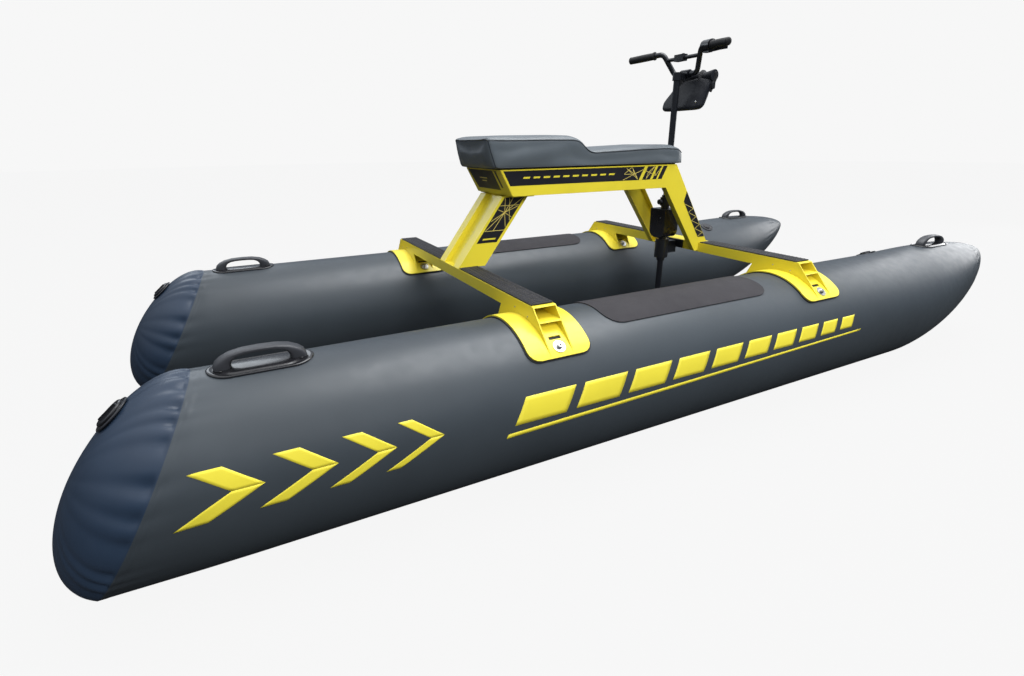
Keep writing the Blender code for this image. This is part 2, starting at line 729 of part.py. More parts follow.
def mirrored(point):
    return Vector((-point.x, point.y, point.z))


def column(mats, steering_axis):
    axis = empty("column_axis", (0, COLUMN_Y, COLLAR_Z[1]), steering_axis)
    base = Vector((0, COLUMN_Y, 0))
    tube = pipe(COLUMN_R, COLUMN_R - 0.0025, base + Vector((0, 0, COLUMN_FOOT)), base + Vector((0, 0, COLUMN_TOP)), 24)
    add("column_tube", tube, mats["black_metal"], axis, smooth=35)
    stem = add("stem", rod(0.0200, base + Vector((0, 0, 1.234)), base + Vector((0, 0, 1.266)), 24),
               mats["black_metal"], axis, smooth=35)
    boolean(stem, "arm", block((-0.013, COLUMN_Y, 1.240), (0.013, BAR_Y, 1.264)), "UNION")
    boolean(stem, "bar_clamp", rod(0.0175, (-0.024, BAR_Y, BAR_Z), (0.024, BAR_Y, BAR_Z), 24), "UNION")
    boolean(stem, "column_bore", rod(COLUMN_R + GAP, base + Vector((0, 0, 1.20)), base + Vector((0, 0, 1.33)), 24),
            "DIFFERENCE")
    boolean(stem, "bar_bore", rod(BAR_R + GAP, (-0.06, BAR_Y, BAR_Z), (0.06, BAR_Y, BAR_Z), 24), "DIFFERENCE")
    handlebar(mats, axis)
    bag(mats, axis)
    thruster(mats, axis)


def handlebar(mats, axis):
    corners = bar_corners()
    route = [mirrored(point) for point in reversed(corners[1:])] + corners[1:]
    bar = add("handlebar", swept(smooth_path(route), BAR_R, 14), mats["black_metal"], axis, smooth=50)
    riser = corners[2] - corners[1]
    joint = corners[1] + riser * 0.70
    boolean(bar, "crossbar", rod(0.0080, mirrored(joint), joint, 12), "UNION")

    end = corners[3]
    out = (corners[3] - corners[2]).normalized()
    for name, side, length in (("port", -1, 0.135), ("starboard", 1, 0.100)):
        heading = out if side > 0 else mirrored(out)
        tip = end if side > 0 else mirrored(end)
        grip = [(0, length + GAP), (BAR_R + GAP, length + GAP), (BAR_R + GAP, 0), (GRIP_R - 0.002, 0),
                (GRIP_R, length), (GRIP_R + 0.0015, length + 0.002), (GRIP_R, length + 0.006), (0, length + 0.007)]
        add(f"grip_{name}", turned(grip, tip - heading * length, heading, 20), mats["rubber"], axis, smooth=35)

    case = pipe(0.0220, BAR_R + GAP, end - out * 0.155, end - out * 0.101, 20)
    case = add("throttle_housing", case, mats["moulding"], axis, smooth=35)
    switch = aligned_block(end - out * 0.130, out, (-0.020, -0.006, -0.026), (0.020, 0.012, -0.014))
    boolean(case, "switch_box", switch, "UNION")
    pivot = Vector(TRIGGER_PIVOT)
    lug = block(pivot + Vector((-0.010, -0.0165, 0.0045)), pivot + Vector((0.008, 0.009, 0.0125)))
    boolean(case, "trigger_lug", lug, "UNION")
    boolean(case, "pin_hole", rod(0.0034, pivot, pivot + Vector((0, 0, 0.03)), 16), "DIFFERENCE")
    throttle_trigger(mats, axis, pivot)
    display(mats, axis, joint)


def throttle_trigger(mats, axis, pivot):
    """A finger trigger that runs outboard ahead of the grip, on an upright pin."""
    trigger_axis = empty("throttle_axis", pivot, axis)
    outline = [(-0.008, -0.006), (0.012, -0.006), (0.050, -0.010), (0.080, -0.008), (0.087, -0.003),
               (0.084, 0.003), (0.050, 0.000), (0.012, 0.007), (-0.008, 0.007)]
    blade = [(pivot.x + x, pivot.y + y) for x, y in outline]
    trigger = add("throttle_lever", prism(blade, "Z", pivot.z - 0.008, pivot.z + 0.004), mats["moulding"],
                  trigger_axis, smooth=35)
    boolean(trigger, "pin", rod(0.0030, pivot, pivot + Vector((0, 0, 0.0120)), 16), "UNION")


def aligned_block(place, along, low, high):
    """A block whose X runs along the bar, measured from a point on the bar's axis."""
    bm = block(low, high)
    turn = Vector((1, 0, 0)).rotation_difference(along).to_matrix().to_4x4()
    bmesh.ops.transform(bm, matrix=Matrix.Translation(place) @ turn, verts=bm.verts)
    return bm


def display(mats, axis, joint):
    low = Vector((-0.040, joint.y - 0.014, joint.z - 0.012))
    high = Vector((0.014, joint.y + 0.013, joint.z + 0.015))
    unit = add("display_unit", block(low, high), mats["moulding"], axis)
    boolean(unit, "bar_hole", rod(0.0083, (-0.05, joint.y, joint.z), (0.05, joint.y, joint.z), 16), "DIFFERENCE")
    top = Vector((0.002, joint.y - 0.001, high.z))
    boolean(unit, "button_pocket", rod(0.0065, top - Vector((0, 0, 0.0050)), top + Vector((0, 0, 0.01)), 16),
            "DIFFERENCE")
    button_axis = empty("button_axis", top, axis)
    button = [(0, -0.0030), (0.0060, -0.0030), (0.0060, 0.0022), (0.0050, 0.0030), (0, 0.0030)]
    add("power_button", turned(button, top, (0, 0, 1), 16), mats["rubber"], button_axis, smooth=35)


def bag(mats, axis):
    """A roll-top bag that hangs in front of the bar, with its foot drawn back to the column."""
    outline = [(0.3180, 1.132), (0.330, 1.113), (0.352, 1.110), (0.368, 1.128), (0.404, 1.212), (0.412, 1.250),
               (0.368, 1.254), (0.362, 1.232), (0.3180, 1.214)]
    bevel(add("handlebar_bag", prism(outline, "X", -0.115, 0.115), mats["bag"], axis), 0.006, 2, 30)


# ---------------------------------------------------------------- thruster
def thruster(mats, axis):
    centre = Vector((0, COLUMN_Y, POD_Z))
    profile = [(0, -0.150), (0.0040, -0.150), (0.0040, -0.1100), (0.0300, -0.1090), (POD_R, -0.092),
               (POD_R, 0.080), (0.0300, 0.112), (0.0180, 0.128), (0, 0.134)]
    pod = add("thruster_pod", turned(profile, centre, (0, 1, 0), 24), mats["black_metal"], axis, smooth=35)
    boolean(pod, "socket", rod(0.0205, centre + Vector((0, 0, 0.005)), centre + Vector((0, 0, 0.072)), 24), "UNION")
    skeg = [(COLUMN_Y - 0.050, POD_Z - 0.030), (COLUMN_Y + 0.050, POD_Z - 0.030), (COLUMN_Y + 0.020, 0.056),
            (COLUMN_Y - 0.030, 0.056)]
    boolean(pod, "skeg", prism(skeg, "X", -0.0028, 0.0028), "UNION")
    boolean(pod, "column_bore", rod(COLUMN_R + GAP, (0, COLUMN_Y, COLUMN_FOOT - GAP), (0, COLUMN_Y, 0.27), 24),
            "DIFFERENCE")

    prop_axis = empty("propeller_axis", centre, axis)
    hub = pipe(0.0160, 0.0043, centre + Vector((0, -0.146, 0)), centre + Vector((0, -0.1115, 0)), 24)
    propeller = add("propeller", hub, mats["moulding"], prop_axis, smooth=35)
    blades = bmesh.new()
    for number in range(BLADES):
        merge(blades, blade(centre + Vector((0, -0.129, 0)), 2 * math.pi * number / BLADES))
    boolean(propeller, "blades", blades, "UNION")


def blade(centre, turn):
    """One twisted blade, from inside the hub to a rounded tip: (radius, chord, pitch)."""
    stations = [(0.011, 0.022, 60), (0.030, 0.034, 48), (0.055, 0.040, 36), (0.080, 0.034, 28), (PROP_R, 0.012, 24)]
    thick = 0.0028
    bm = bmesh.new()
    out = Vector((math.cos(turn), 0, math.sin(turn)))
    around = Vector((-math.sin(turn), 0, math.cos(turn)))
    loops = []
    for radius, chord, pitch in stations:
        angle = math.radians(pitch)
        along = around * math.cos(angle) + Vector((0, 1, 0)) * math.sin(angle)
        face = out.cross(along)
        middle = centre + out * radius
        corners = [(-1, -1), (1, -1), (1, 1), (-1, 1)]
        loops.append([bm.verts.new(middle + along * (a * chord / 2) + face * (b * thick / 2)) for a, b in corners])
    for first, second in zip(loops, loops[1:]):
        bridge(bm, first, second)
    bm.faces.new(loops[0])
    bm.faces.new(loops[-1])
    bmesh.ops.recalc_face_normals(bm, faces=bm.faces)
    return bm


def main():
    clear_scene()
    mats = make_materials()
    make_pontoons(mats)
    for end, beam_y in BEAMS:
        cross_beam(end, beam_y, mats)
    seat_frame(mats)
    steering_axis = steering(mats)
    column(mats, steering_axis)


main()
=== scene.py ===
"""Looks of the electric water bike: inflated pontoons, painted frame, padded seat, bag and grips."""

import json
import math

import bmesh
import bpy
import numpy as np
from mathutils import Matrix, Vector, noise
from mathutils.kdtree import KDTree


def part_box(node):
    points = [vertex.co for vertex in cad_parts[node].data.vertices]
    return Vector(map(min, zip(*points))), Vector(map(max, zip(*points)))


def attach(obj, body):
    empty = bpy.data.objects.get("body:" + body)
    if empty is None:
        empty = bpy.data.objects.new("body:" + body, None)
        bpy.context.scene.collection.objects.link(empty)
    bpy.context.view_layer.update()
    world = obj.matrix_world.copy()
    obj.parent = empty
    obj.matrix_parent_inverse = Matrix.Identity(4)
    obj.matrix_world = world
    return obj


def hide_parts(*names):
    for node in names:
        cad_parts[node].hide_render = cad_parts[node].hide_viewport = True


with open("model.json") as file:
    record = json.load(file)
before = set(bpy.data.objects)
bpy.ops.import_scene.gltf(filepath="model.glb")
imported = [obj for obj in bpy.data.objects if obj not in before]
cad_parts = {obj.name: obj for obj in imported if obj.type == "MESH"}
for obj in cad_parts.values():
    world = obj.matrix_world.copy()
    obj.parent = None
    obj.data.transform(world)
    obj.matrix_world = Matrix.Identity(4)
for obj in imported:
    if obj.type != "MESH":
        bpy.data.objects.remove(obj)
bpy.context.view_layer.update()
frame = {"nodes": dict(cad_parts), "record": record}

# Metres throughout: X to starboard, Y to the bow, Z up. The skin follows the rule of the CAD pontoons.
PONTOON_X = 0.597
PONTOON_R = 0.240
CAD_SIDES = 32
SKIN_R = PONTOON_R / math.cos(math.pi / CAD_SIDES) - 0.0002
BOW_START_Y, BOW_TIP_Y, BOW_TIP_Z = 1.074, 2.0037, 0.4093
BOW_FULLNESS, BOW_BLUNTNESS, BOW_SWEEP = 1.930, 1.317, 1.505
TAPER_STERN_Y, TAPER_STERN, LIFT_STERN = -1.711, 0.374, -0.090
STERN = {"seam": -1.848, "slant": 0.143, "bulge": 0.153, "power": 1.95, "heading": -1}
BOW_SEAM_Y, BOW_SEAM_SLANT = 1.700, 0.115
PARALLEL_START_Y, PARALLEL_END_Y = -1.42, BOW_START_Y - 0.05
GROUND = 0.0002
AROUND = 256
DOME_STEPS = 30
TAPE_W = 0.018
TAPE_PROUD = 0.0003
STERN_PUCKERS = 27
BOW_PUCKERS = 30
HANDLE_YS = {"stern": -1.552, "bow": 1.500}
SIDES = {"starboard": 1, "port": -1}

# Frame lines that the decals follow.
SIDE_FACE_X = 0.156
LEG_FACE_X = 0.100
LEG_FOOT_Y, LEG_FOOT_Z, LEG_LEAN, LEG_DEPTH = -0.826, 0.532, 0.75, 0.112
FRONT_EDGE_Y, FRONT_EDGE_Z, FRONT_SLOPE = 0.187, 0.889, -0.6644
BEAM_HALF = 0.0402
DECAL = 0.0004
LINE = 0.0003
PRINT_PROUD = 0.0005
DECAL_TOP, DECAL_FOOT = 0.8845, 0.8310


def section(y):
    """Size of the pontoon's cross-section at y as a share of the full one, and how far it's lifted."""
    stern = max(TAPER_STERN_Y - y, 0)
    bow = min(max((y - BOW_START_Y) / (BOW_TIP_Y - BOW_START_Y), 0), 1)
    scale = (1 - TAPER_STERN * stern) * max(1 - bow ** BOW_FULLNESS, 0) ** (1 / BOW_BLUNTNESS)
    return scale, LIFT_STERN * stern + (BOW_TIP_Z - PONTOON_R) * bow ** BOW_SWEEP


def skin(side, angle, y, offset=0.0):
    """Point on the pontoon at an angle from its top, outboard positive."""
    scale, lift = section(y)
    radius = SKIN_R * scale + offset
    across = side * (PONTOON_X + radius * math.sin(angle))
    return Vector((across, y, max(PONTOON_R + lift + radius * math.cos(angle), offset + GROUND)))


def end_point(side, angle, around, end):
    """Point on the domed end panel. around runs from the tip, 0, to the seam, a right angle."""
    rho = math.sin(around) ** (2 / end["power"])
    proud = end["bulge"] * max(math.cos(around), 0) ** (2 / end["power"])
    tilt = math.atan2(end["slant"], PONTOON_R)
    y = end["seam"] + end["slant"] * rho * math.cos(angle) + end["heading"] * proud * math.cos(tilt)
    scale, lift = section(y)
    radius = SKIN_R * rho
    up = radius * math.cos(angle) - end["heading"] * proud * math.sin(tilt)
    across = side * (PONTOON_X + radius * math.sin(angle) * scale)
    return Vector((across, y, max(PONTOON_R + lift + up * scale, GROUND)))


# Materials.
class Nodes:
    """A material's node tree and the few kinds of node that its finish needs."""

    def __init__(self, name):
        self.material = bpy.data.materials.new(name)
        self.material.use_nodes = True
        self.tree = self.material.node_tree
        self.shader = self.tree.nodes["Principled BSDF"]
        self.place = self.tree.nodes.new("ShaderNodeTexCoord").outputs["Object"]

    def add(self, kind, **inputs):
        node = self.tree.nodes.new(kind)
        for key, value in inputs.items():
            node.inputs[key].default_value = value
        return node

    def link(self, source, target):
        self.tree.links.new(source, target)

    def stretched(self, scale):
        node = self.add("ShaderNodeMapping", Scale=scale)
        self.link(self.place, node.inputs["Vector"])
        return node.outputs["Vector"]

    def noise(self, scale, detail=3.0, rough=0.55, stretch=None):
        node = self.add("ShaderNodeTexNoise", Scale=scale, Detail=detail, Roughness=rough)
        self.link(self.stretched(stretch) if stretch else self.place, node.inputs["Vector"])
        return node.outputs["Fac"]

    def cells(self, scale):
        node = self.add("ShaderNodeTexVoronoi", Scale=scale)
        node.feature = "DISTANCE_TO_EDGE"
        self.link(self.place, node.inputs["Vector"])
        return node.outputs["Distance"]

    def ranged(self, value, low, high, to_low, to_high):
        span = {"From Min": low, "From Max": high, "To Min": to_low, "To Max": to_high}
        node = self.add("ShaderNodeMapRange", **span)
        self.link(value, node.inputs["Value"])
        return node.outputs["Result"]

    def blend(self, factor, first, second):
        node = self.add("ShaderNodeMix")
        node.data_type = "RGBA"
        self.link(factor, node.inputs["Factor"])
        colours = [s for s in node.inputs if s.type == "RGBA"]
        for socket, value in zip(colours, (first, second)):
            if isinstance(value, tuple):
                socket.default_value = (*value, 1)
            else:
                self.link(value, socket)
        return next(s for s in node.outputs if s.type == "RGBA")

    def bump(self, height, strength, distance, under=None):
        node = self.add("ShaderNodeBump", Strength=strength, Distance=distance)
        self.link(height, node.inputs["Height"])
        if under is not None:
            self.link(under, node.inputs["Normal"])
        return node.outputs["Normal"]


def shade(colour, factor):
    """The colour made lighter or darker."""
    return tuple(min(c * factor, 1.0) for c in colour)


def finish(name, colour, rough, metallic=0.0, variation=0.12, drift=4.0, grain=900.0, grain_kind="noise",
           grain_depth=0.0002, grain_strength=0.25, wear=0.10, wear_colour=None, coat=0.0, sheen=0.0,
           specular=0.5, stretch=None):
    """A procedural finish: slow colour drift, fine grain, handling marks and uneven gloss."""
    n = Nodes(name)
    slow = n.ranged(n.noise(drift, 4), 0.32, 0.68, 0, 1)
    base = n.blend(slow, shade(colour, 1 - variation), shade(colour, 1 + variation))
    marks = n.noise(70, 8, 0.72, stretch)
    worn = n.ranged(marks, 0.60, 0.78, 0, wear)
    n.link(n.blend(worn, base, wear_colour or shade(colour, 1.8)), n.shader.inputs["Base Color"])
    n.link(n.ranged(n.noise(26, 5, 0.6, stretch), 0.3, 0.7, rough - 0.05, rough + 0.06),
           n.shader.inputs["Roughness"])
    height = n.cells(grain) if grain_kind == "cells" else n.noise(grain, 3, 0.6, stretch)
    waviness = n.bump(n.noise(9, 2), 0.10, 0.002)
    n.link(n.bump(height, grain_strength, grain_depth, waviness), n.shader.inputs["Normal"])
    for socket, value in (("Metallic", metallic), ("Coat Weight", coat), ("Coat Roughness", 0.08),
                          ("Sheen Weight", sheen), ("Specular IOR Level", specular)):
        n.shader.inputs[socket].default_value = value
    return n.material


def weave(name, colour, rough, pitch, strength, **more):
    """A coated cloth: two crossed sets of threads under the coating."""
    material = finish(name, colour, rough, **more)
    tree = material.node_tree
    shader = tree.nodes["Principled BSDF"]
    under = shader.inputs["Normal"].links[0].from_socket
    place = tree.nodes.new("ShaderNodeTexCoord").outputs["Object"]
    for direction in ("X", "Z"):
        wave = tree.nodes.new("ShaderNodeTexWave")
        wave.bands_direction = direction
        wave.inputs["Scale"].default_value = 0.31 / pitch
        wave.inputs["Distortion"].default_value = 0.6
        tree.links.new(place, wave.inputs["Vector"])
        bump = tree.nodes.new("ShaderNodeBump")
        bump.inputs["Strength"].default_value = strength
        bump.inputs["Distance"].default_value = 0.0002
        tree.links.new(wave.outputs["Fac"], bump.inputs["Height"])
        tree.links.new(under, bump.inputs["Normal"])
        under = bump.outputs["Normal"]
    tree.links.new(under, shader.inputs["Normal"])
    return material


PVC = weave("pvc_skin", (0.038, 0.047, 0.056), 0.40, 0.0016, 0.05, variation=0.10, drift=2.2,
            grain=700.0, grain_strength=0.10, specular=0.55)
# The stern panel's finish is the skin's PVC made darker and bluer: painted shade and a painted dark blue reflection,
# as the panel faces away from the light.
PVC_END_PAINTED_SHADE = weave("pvc_end_panel_painted_shade", (0.018, 0.032, 0.058), 0.38, 0.0016, 0.05, variation=0.14, drift=3.0,
                wear=0.12, grain=700.0, grain_strength=0.10)
YELLOW = finish("yellow_powder_coat", (0.78, 0.65, 0.040), 0.40, variation=0.05, drift=5.0, grain=1500.0,
                grain_strength=0.16, grain_depth=0.00012, wear=0.16, wear_colour=(0.86, 0.78, 0.22),
                coat=0.18)
YELLOW_PRINT = finish("yellow_print", (0.72, 0.62, 0.045), 0.42, variation=0.05, grain=1800.0,
                      grain_strength=0.08, wear=0.18, wear_colour=(0.5, 0.44, 0.08))
GOLD_PRINT = finish("thin_line_print", (0.80, 0.66, 0.16), 0.45, variation=0.06, grain=1800.0,
                    grain_strength=0.05, wear=0.2)
BLACK_PRINT = finish("black_decal_film", (0.013, 0.013, 0.017), 0.36, variation=0.15, grain=1600.0,
                     grain_strength=0.06, wear=0.12, wear_colour=(0.07, 0.07, 0.075))
RUBBER = finish("black_rubber", (0.009, 0.009, 0.010), 0.62, variation=0.2, grain=1100.0,
                wear=0.12, wear_colour=(0.05, 0.05, 0.05))
MOULDING = finish("black_moulding", (0.010, 0.010, 0.012), 0.24, variation=0.15, grain=1400.0,
                  grain_strength=0.10, wear_colour=(0.06, 0.06, 0.065), coat=0.4)
SATIN_GRIP = finish("handle_grip_moulding", (0.034, 0.036, 0.042), 0.46, variation=0.14, grain=1200.0,
                    wear=0.14, wear_colour=(0.09, 0.09, 0.10))
TREAD = finish("tread_rubber", (0.014, 0.014, 0.017), 0.58, variation=0.2,
               grain_strength=0.35, wear=0.22, wear_colour=(0.10, 0.10, 0.11))
VINYL = finish("seat_vinyl", (0.078, 0.094, 0.108), 0.40, variation=0.09, drift=5.0, grain=1300.0,
               grain_kind="cells", grain_strength=0.30, grain_depth=0.00018,
               wear_colour=(0.13, 0.15, 0.17), sheen=0.10)
PIPING = finish("seat_piping", (0.020, 0.024, 0.030), 0.45, variation=0.15, grain=1500.0, wear=0.12)
FOAM = finish("eva_foam", (0.030, 0.028, 0.032), 0.78, drift=6.0, grain=420.0,
              grain_kind="cells", grain_strength=0.55, grain_depth=0.0006, wear=0.18,
              wear_colour=(0.10, 0.09, 0.10), specular=0.35)
METAL_BLACK = finish("black_powder_coat", (0.008, 0.009, 0.012), 0.34, variation=0.15, grain=1500.0,
                     grain_strength=0.18, wear=0.12, wear_colour=(0.07, 0.07, 0.08), coat=0.2)
STEEL = finish("stainless_steel", (0.58, 0.58, 0.57), 0.28, metallic=1.0, variation=0.08, grain=600.0,
               grain_strength=0.22, wear=0.2, wear_colour=(0.40, 0.39, 0.37), stretch=(1, 1, 14))
TARPAULIN = weave("bag_tarpaulin", (0.006, 0.007, 0.011), 0.52, 0.0011, 0.20, variation=0.16, drift=12.0,
                  wear=0.16, wear_colour=(0.08, 0.08, 0.09), grain=1300.0)
WEBBING = weave("bag_webbing", (0.014, 0.014, 0.016), 0.7, 0.0016, 0.6, variation=0.2, wear=0.12)
BRONZE = finish("bronze", (0.52, 0.34, 0.14), 0.34, metallic=1.0, wear=0.3,
                wear_colour=(0.22, 0.20, 0.10))
CASE = finish("battery_case", (0.026, 0.027, 0.030), 0.45, grain_strength=0.4, wear=0.12)
GLASS = finish("display_glass", (0.008, 0.010, 0.014), 0.10, variation=0.1, grain=1800.0,
               grain_strength=0.03, wear=0.06, coat=0.8)
GREY_DOT = finish("grey_plug", (0.20, 0.20, 0.21), 0.45, variation=0.1, wear=0.15)

# The finish of each slot and the width of its edges' bevel.
SLOTS = {
    "pontoon_pvc": (PVC, 0), "traction_foam": (FOAM, 0.0008), "yellow_powder_coat": (YELLOW, 0.0010),
    "black_rubber": (RUBBER, 0.0005), "black_moulding": (MOULDING, 0.0005), "tread_rubber": (TREAD, 0.0006),
    "seat_vinyl": (VINYL, 0.002), "black_metal": (METAL_BLACK, 0.0008), "stainless_steel": (STEEL, 0.0004),
    "bag_tarpaulin": (TARPAULIN, 0.002), "bronze": (BRONZE, 0.0004), "battery_case": (CASE, 0.003),
}


def smooth_group(angle):
    """Smooth shading up to an edge angle."""
    group = bpy.data.node_groups.new("smooth_to_angle", "GeometryNodeTree")
    group.interface.new_socket("Geometry", in_out="INPUT", socket_type="NodeSocketGeometry")
    group.interface.new_socket("Geometry", in_out="OUTPUT", socket_type="NodeSocketGeometry")
    start, end = group.nodes.new("NodeGroupInput"), group.nodes.new("NodeGroupOutput")
    faces = group.nodes.new("GeometryNodeSetShadeSmooth")
    edges = group.nodes.new("GeometryNodeSetShadeSmooth")
    edges.domain = "EDGE"
    edges.inputs["Shade Smooth"].default_value = False
    between = group.nodes.new("GeometryNodeInputMeshEdgeAngle")
    sharp = group.nodes.new("FunctionNodeCompare")
    sharp.data_type = "FLOAT"
    sharp.operation = "GREATER_THAN"
    sharp.inputs[1].default_value = angle
    group.links.new(between.outputs["Unsigned Angle"], sharp.inputs[0])
    group.links.new(start.outputs[0], faces.inputs["Geometry"])
    group.links.new(faces.outputs[0], edges.inputs["Geometry"])
    group.links.new(sharp.outputs[0], edges.inputs["Selection"])
    group.links.new(edges.outputs[0], end.inputs[0])
    return group


SMOOTH = smooth_group(math.radians(38))
BEVEL_FROM = math.radians(34)
WELD_WITHIN = 0.00002


def shade_by_angle(obj):
    modifier = obj.modifiers.new("shading", "NODES")
    modifier.node_group = SMOOTH
    weighted = obj.modifiers.new("normals", "WEIGHTED_NORMAL")
    weighted.keep_sharp = True


def soften(obj, width, segments=2):
    if width:
        bevel = obj.modifiers.new("edges", "BEVEL")
        bevel.width = width
        bevel.segments = segments
        bevel.limit_method = "ANGLE"
        bevel.angle_limit = BEVEL_FROM
        bevel.use_clamp_overlap = True
    shade_by_angle(obj)


def dress_frame():
    """Gives every CAD node its finish, softened edges and clean shading."""
    for row in frame["record"]["subparts"]:
        obj = frame["nodes"][row["node"]]
        attribute = obj.data.attributes.get("custom_normal")
        if attribute is not None:
            obj.data.attributes.remove(attribute)
        obj.data.materials.clear()
        material, bevel = SLOTS[row["material_slot"]]
        obj.data.materials.append(material)
        weld = obj.modifiers.new("weld", "WELD")
        weld.merge_threshold = WELD_WITHIN
        soften(obj, bevel)


# Mesh helpers.
def add_mesh(name, verts, faces, material, body="float_frame", bevel=0.0, smooth=True):
    """A piece that rides on a body. material is one finish or a list of them."""
    mesh = bpy.data.meshes.new(name)
    mesh.from_pydata([tuple(v) for v in verts], [], faces)
    bm = bmesh.new()
    bm.from_mesh(mesh)
    bmesh.ops.recalc_face_normals(bm, faces=bm.faces)
    for face in bm.faces:
        face.smooth = smooth
    bm.to_mesh(mesh)
    bm.free()
    mesh.update()
    obj = bpy.data.objects.new(name, mesh)
    bpy.context.scene.collection.objects.link(obj)
    for one in material if isinstance(material, list) else [material]:
        mesh.materials.append(one)
    if bevel:
        soften(obj, bevel)
    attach(obj, body)
    return obj


def loft(rings, closed_ends=True):
    """Verts and faces of a skin over rings of equal length."""
    count = len(rings[0])
    verts = [point for ring in rings for point in ring]
    faces = []
    for i in range(len(rings) - 1):
        a, b = i * count, (i + 1) * count
        faces += [(a + j, a + (j + 1) % count, b + (j + 1) % count, b + j) for j in range(count)]
    if closed_ends:
        faces += [tuple(range(count)), tuple(range(len(verts) - count, len(verts)))]
    return verts, faces


def merge(parts):
    """Several shapes as the verts and faces of one piece."""
    verts, faces = [], []
    for more_verts, more_faces in parts:
        start = len(verts)
        verts += list(more_verts)
        faces += [tuple(i + start for i in face) for face in more_faces]
    return verts, faces


def turns(count):
    """Evenly spaced angles all the way round."""
    return [2 * math.pi * k / count for k in range(count)]


def circle(centre, side, other, radius, sides, flat=1.0):
    return [centre + side * (radius * math.cos(turn)) + other * (radius * flat * math.sin(turn))
            for turn in turns(sides)]


def sweep(points, radius, sides, flat=1.0):
    """A rod along points, round or flattened."""
    rings = []
    side = (points[1] - points[0]).normalized().orthogonal()
    for before, point, after in zip(points[:1] + points, points, points[1:] + points[-1:]):
        along = (after - before).normalized()
        side = (side - along * side.dot(along)).normalized()
        rings.append(circle(point, side, along.cross(side), radius, sides, flat))
    return loft(rings)


def lathe(origin, axis, profile, sides):
    """Rings of (distance along the axis, radius)."""
    axis = Vector(axis).normalized()
    side = axis.orthogonal().normalized()
    return loft([circle(Vector(origin) + axis * along, side, axis.cross(side), radius, sides)
                 for along, radius in profile])


def plate(outline, place, thickness, sunk=0.0001):
    """A closed prism: place maps a point of the outline and a height to space."""
    low = [place(u, v, -sunk) for u, v in outline]
    high = [place(u, v, thickness) for u, v in outline]
    return loft([low, high])


def stroke(a, b, width, place, thickness=DECAL + LINE, sunk=-0.0001):
    """A thin straight line of print."""
    along = Vector((b[0] - a[0], b[1] - a[1])).normalized()
    across = Vector((-along.y, along.x)) * width / 2
    corners = [(a[0] + across.x, a[1] + across.y), (b[0] + across.x, b[1] + across.y),
               (b[0] - across.x, b[1] - across.y), (a[0] - across.x, a[1] - across.y)]
    return plate(corners, place, thickness, sunk)


def displace(obj, amounts):
    """Moves each vertex along its own normal."""
    normals = [vertex.normal.copy() for vertex in obj.data.vertices]
    for vertex, normal, amount in zip(obj.data.vertices, normals, amounts):
        vertex.co += normal * amount


def refine(obj):
    fine = obj.modifiers.new("fine", "SUBSURF")
    fine.levels = fine.render_levels = 1


def squared(turn, power):
    """Cosine and sine of turn, pushed out towards a square with rounded corners."""
    c, s = math.cos(turn), math.sin(turn)
    return math.copysign(abs(c) ** power, c), math.copysign(abs(s) ** power, s)


# Pontoons.
def pucker(angle, count, seed):
    """Depth of the gathers round a seam, 0 to 1, uneven as sewn or welded fabric is."""
    drift = 1.1 * noise.noise(Vector((math.cos(angle) * 2.1, math.sin(angle) * 2.1, seed)))
    wave = 0.5 + 0.5 * math.cos(count * angle + 5 * drift)
    strength = 0.45 + 0.55 * (0.5 + noise.noise(Vector((math.cos(angle) * 3.3, math.sin(angle) * 3.3, seed + 7))))
    return wave ** 1.4 * strength


def end_gather(distance, reach):
    """How strongly the gathers show at this distance from the seam."""
    return min(distance / 0.008, 1.0) * math.exp(-distance / reach)


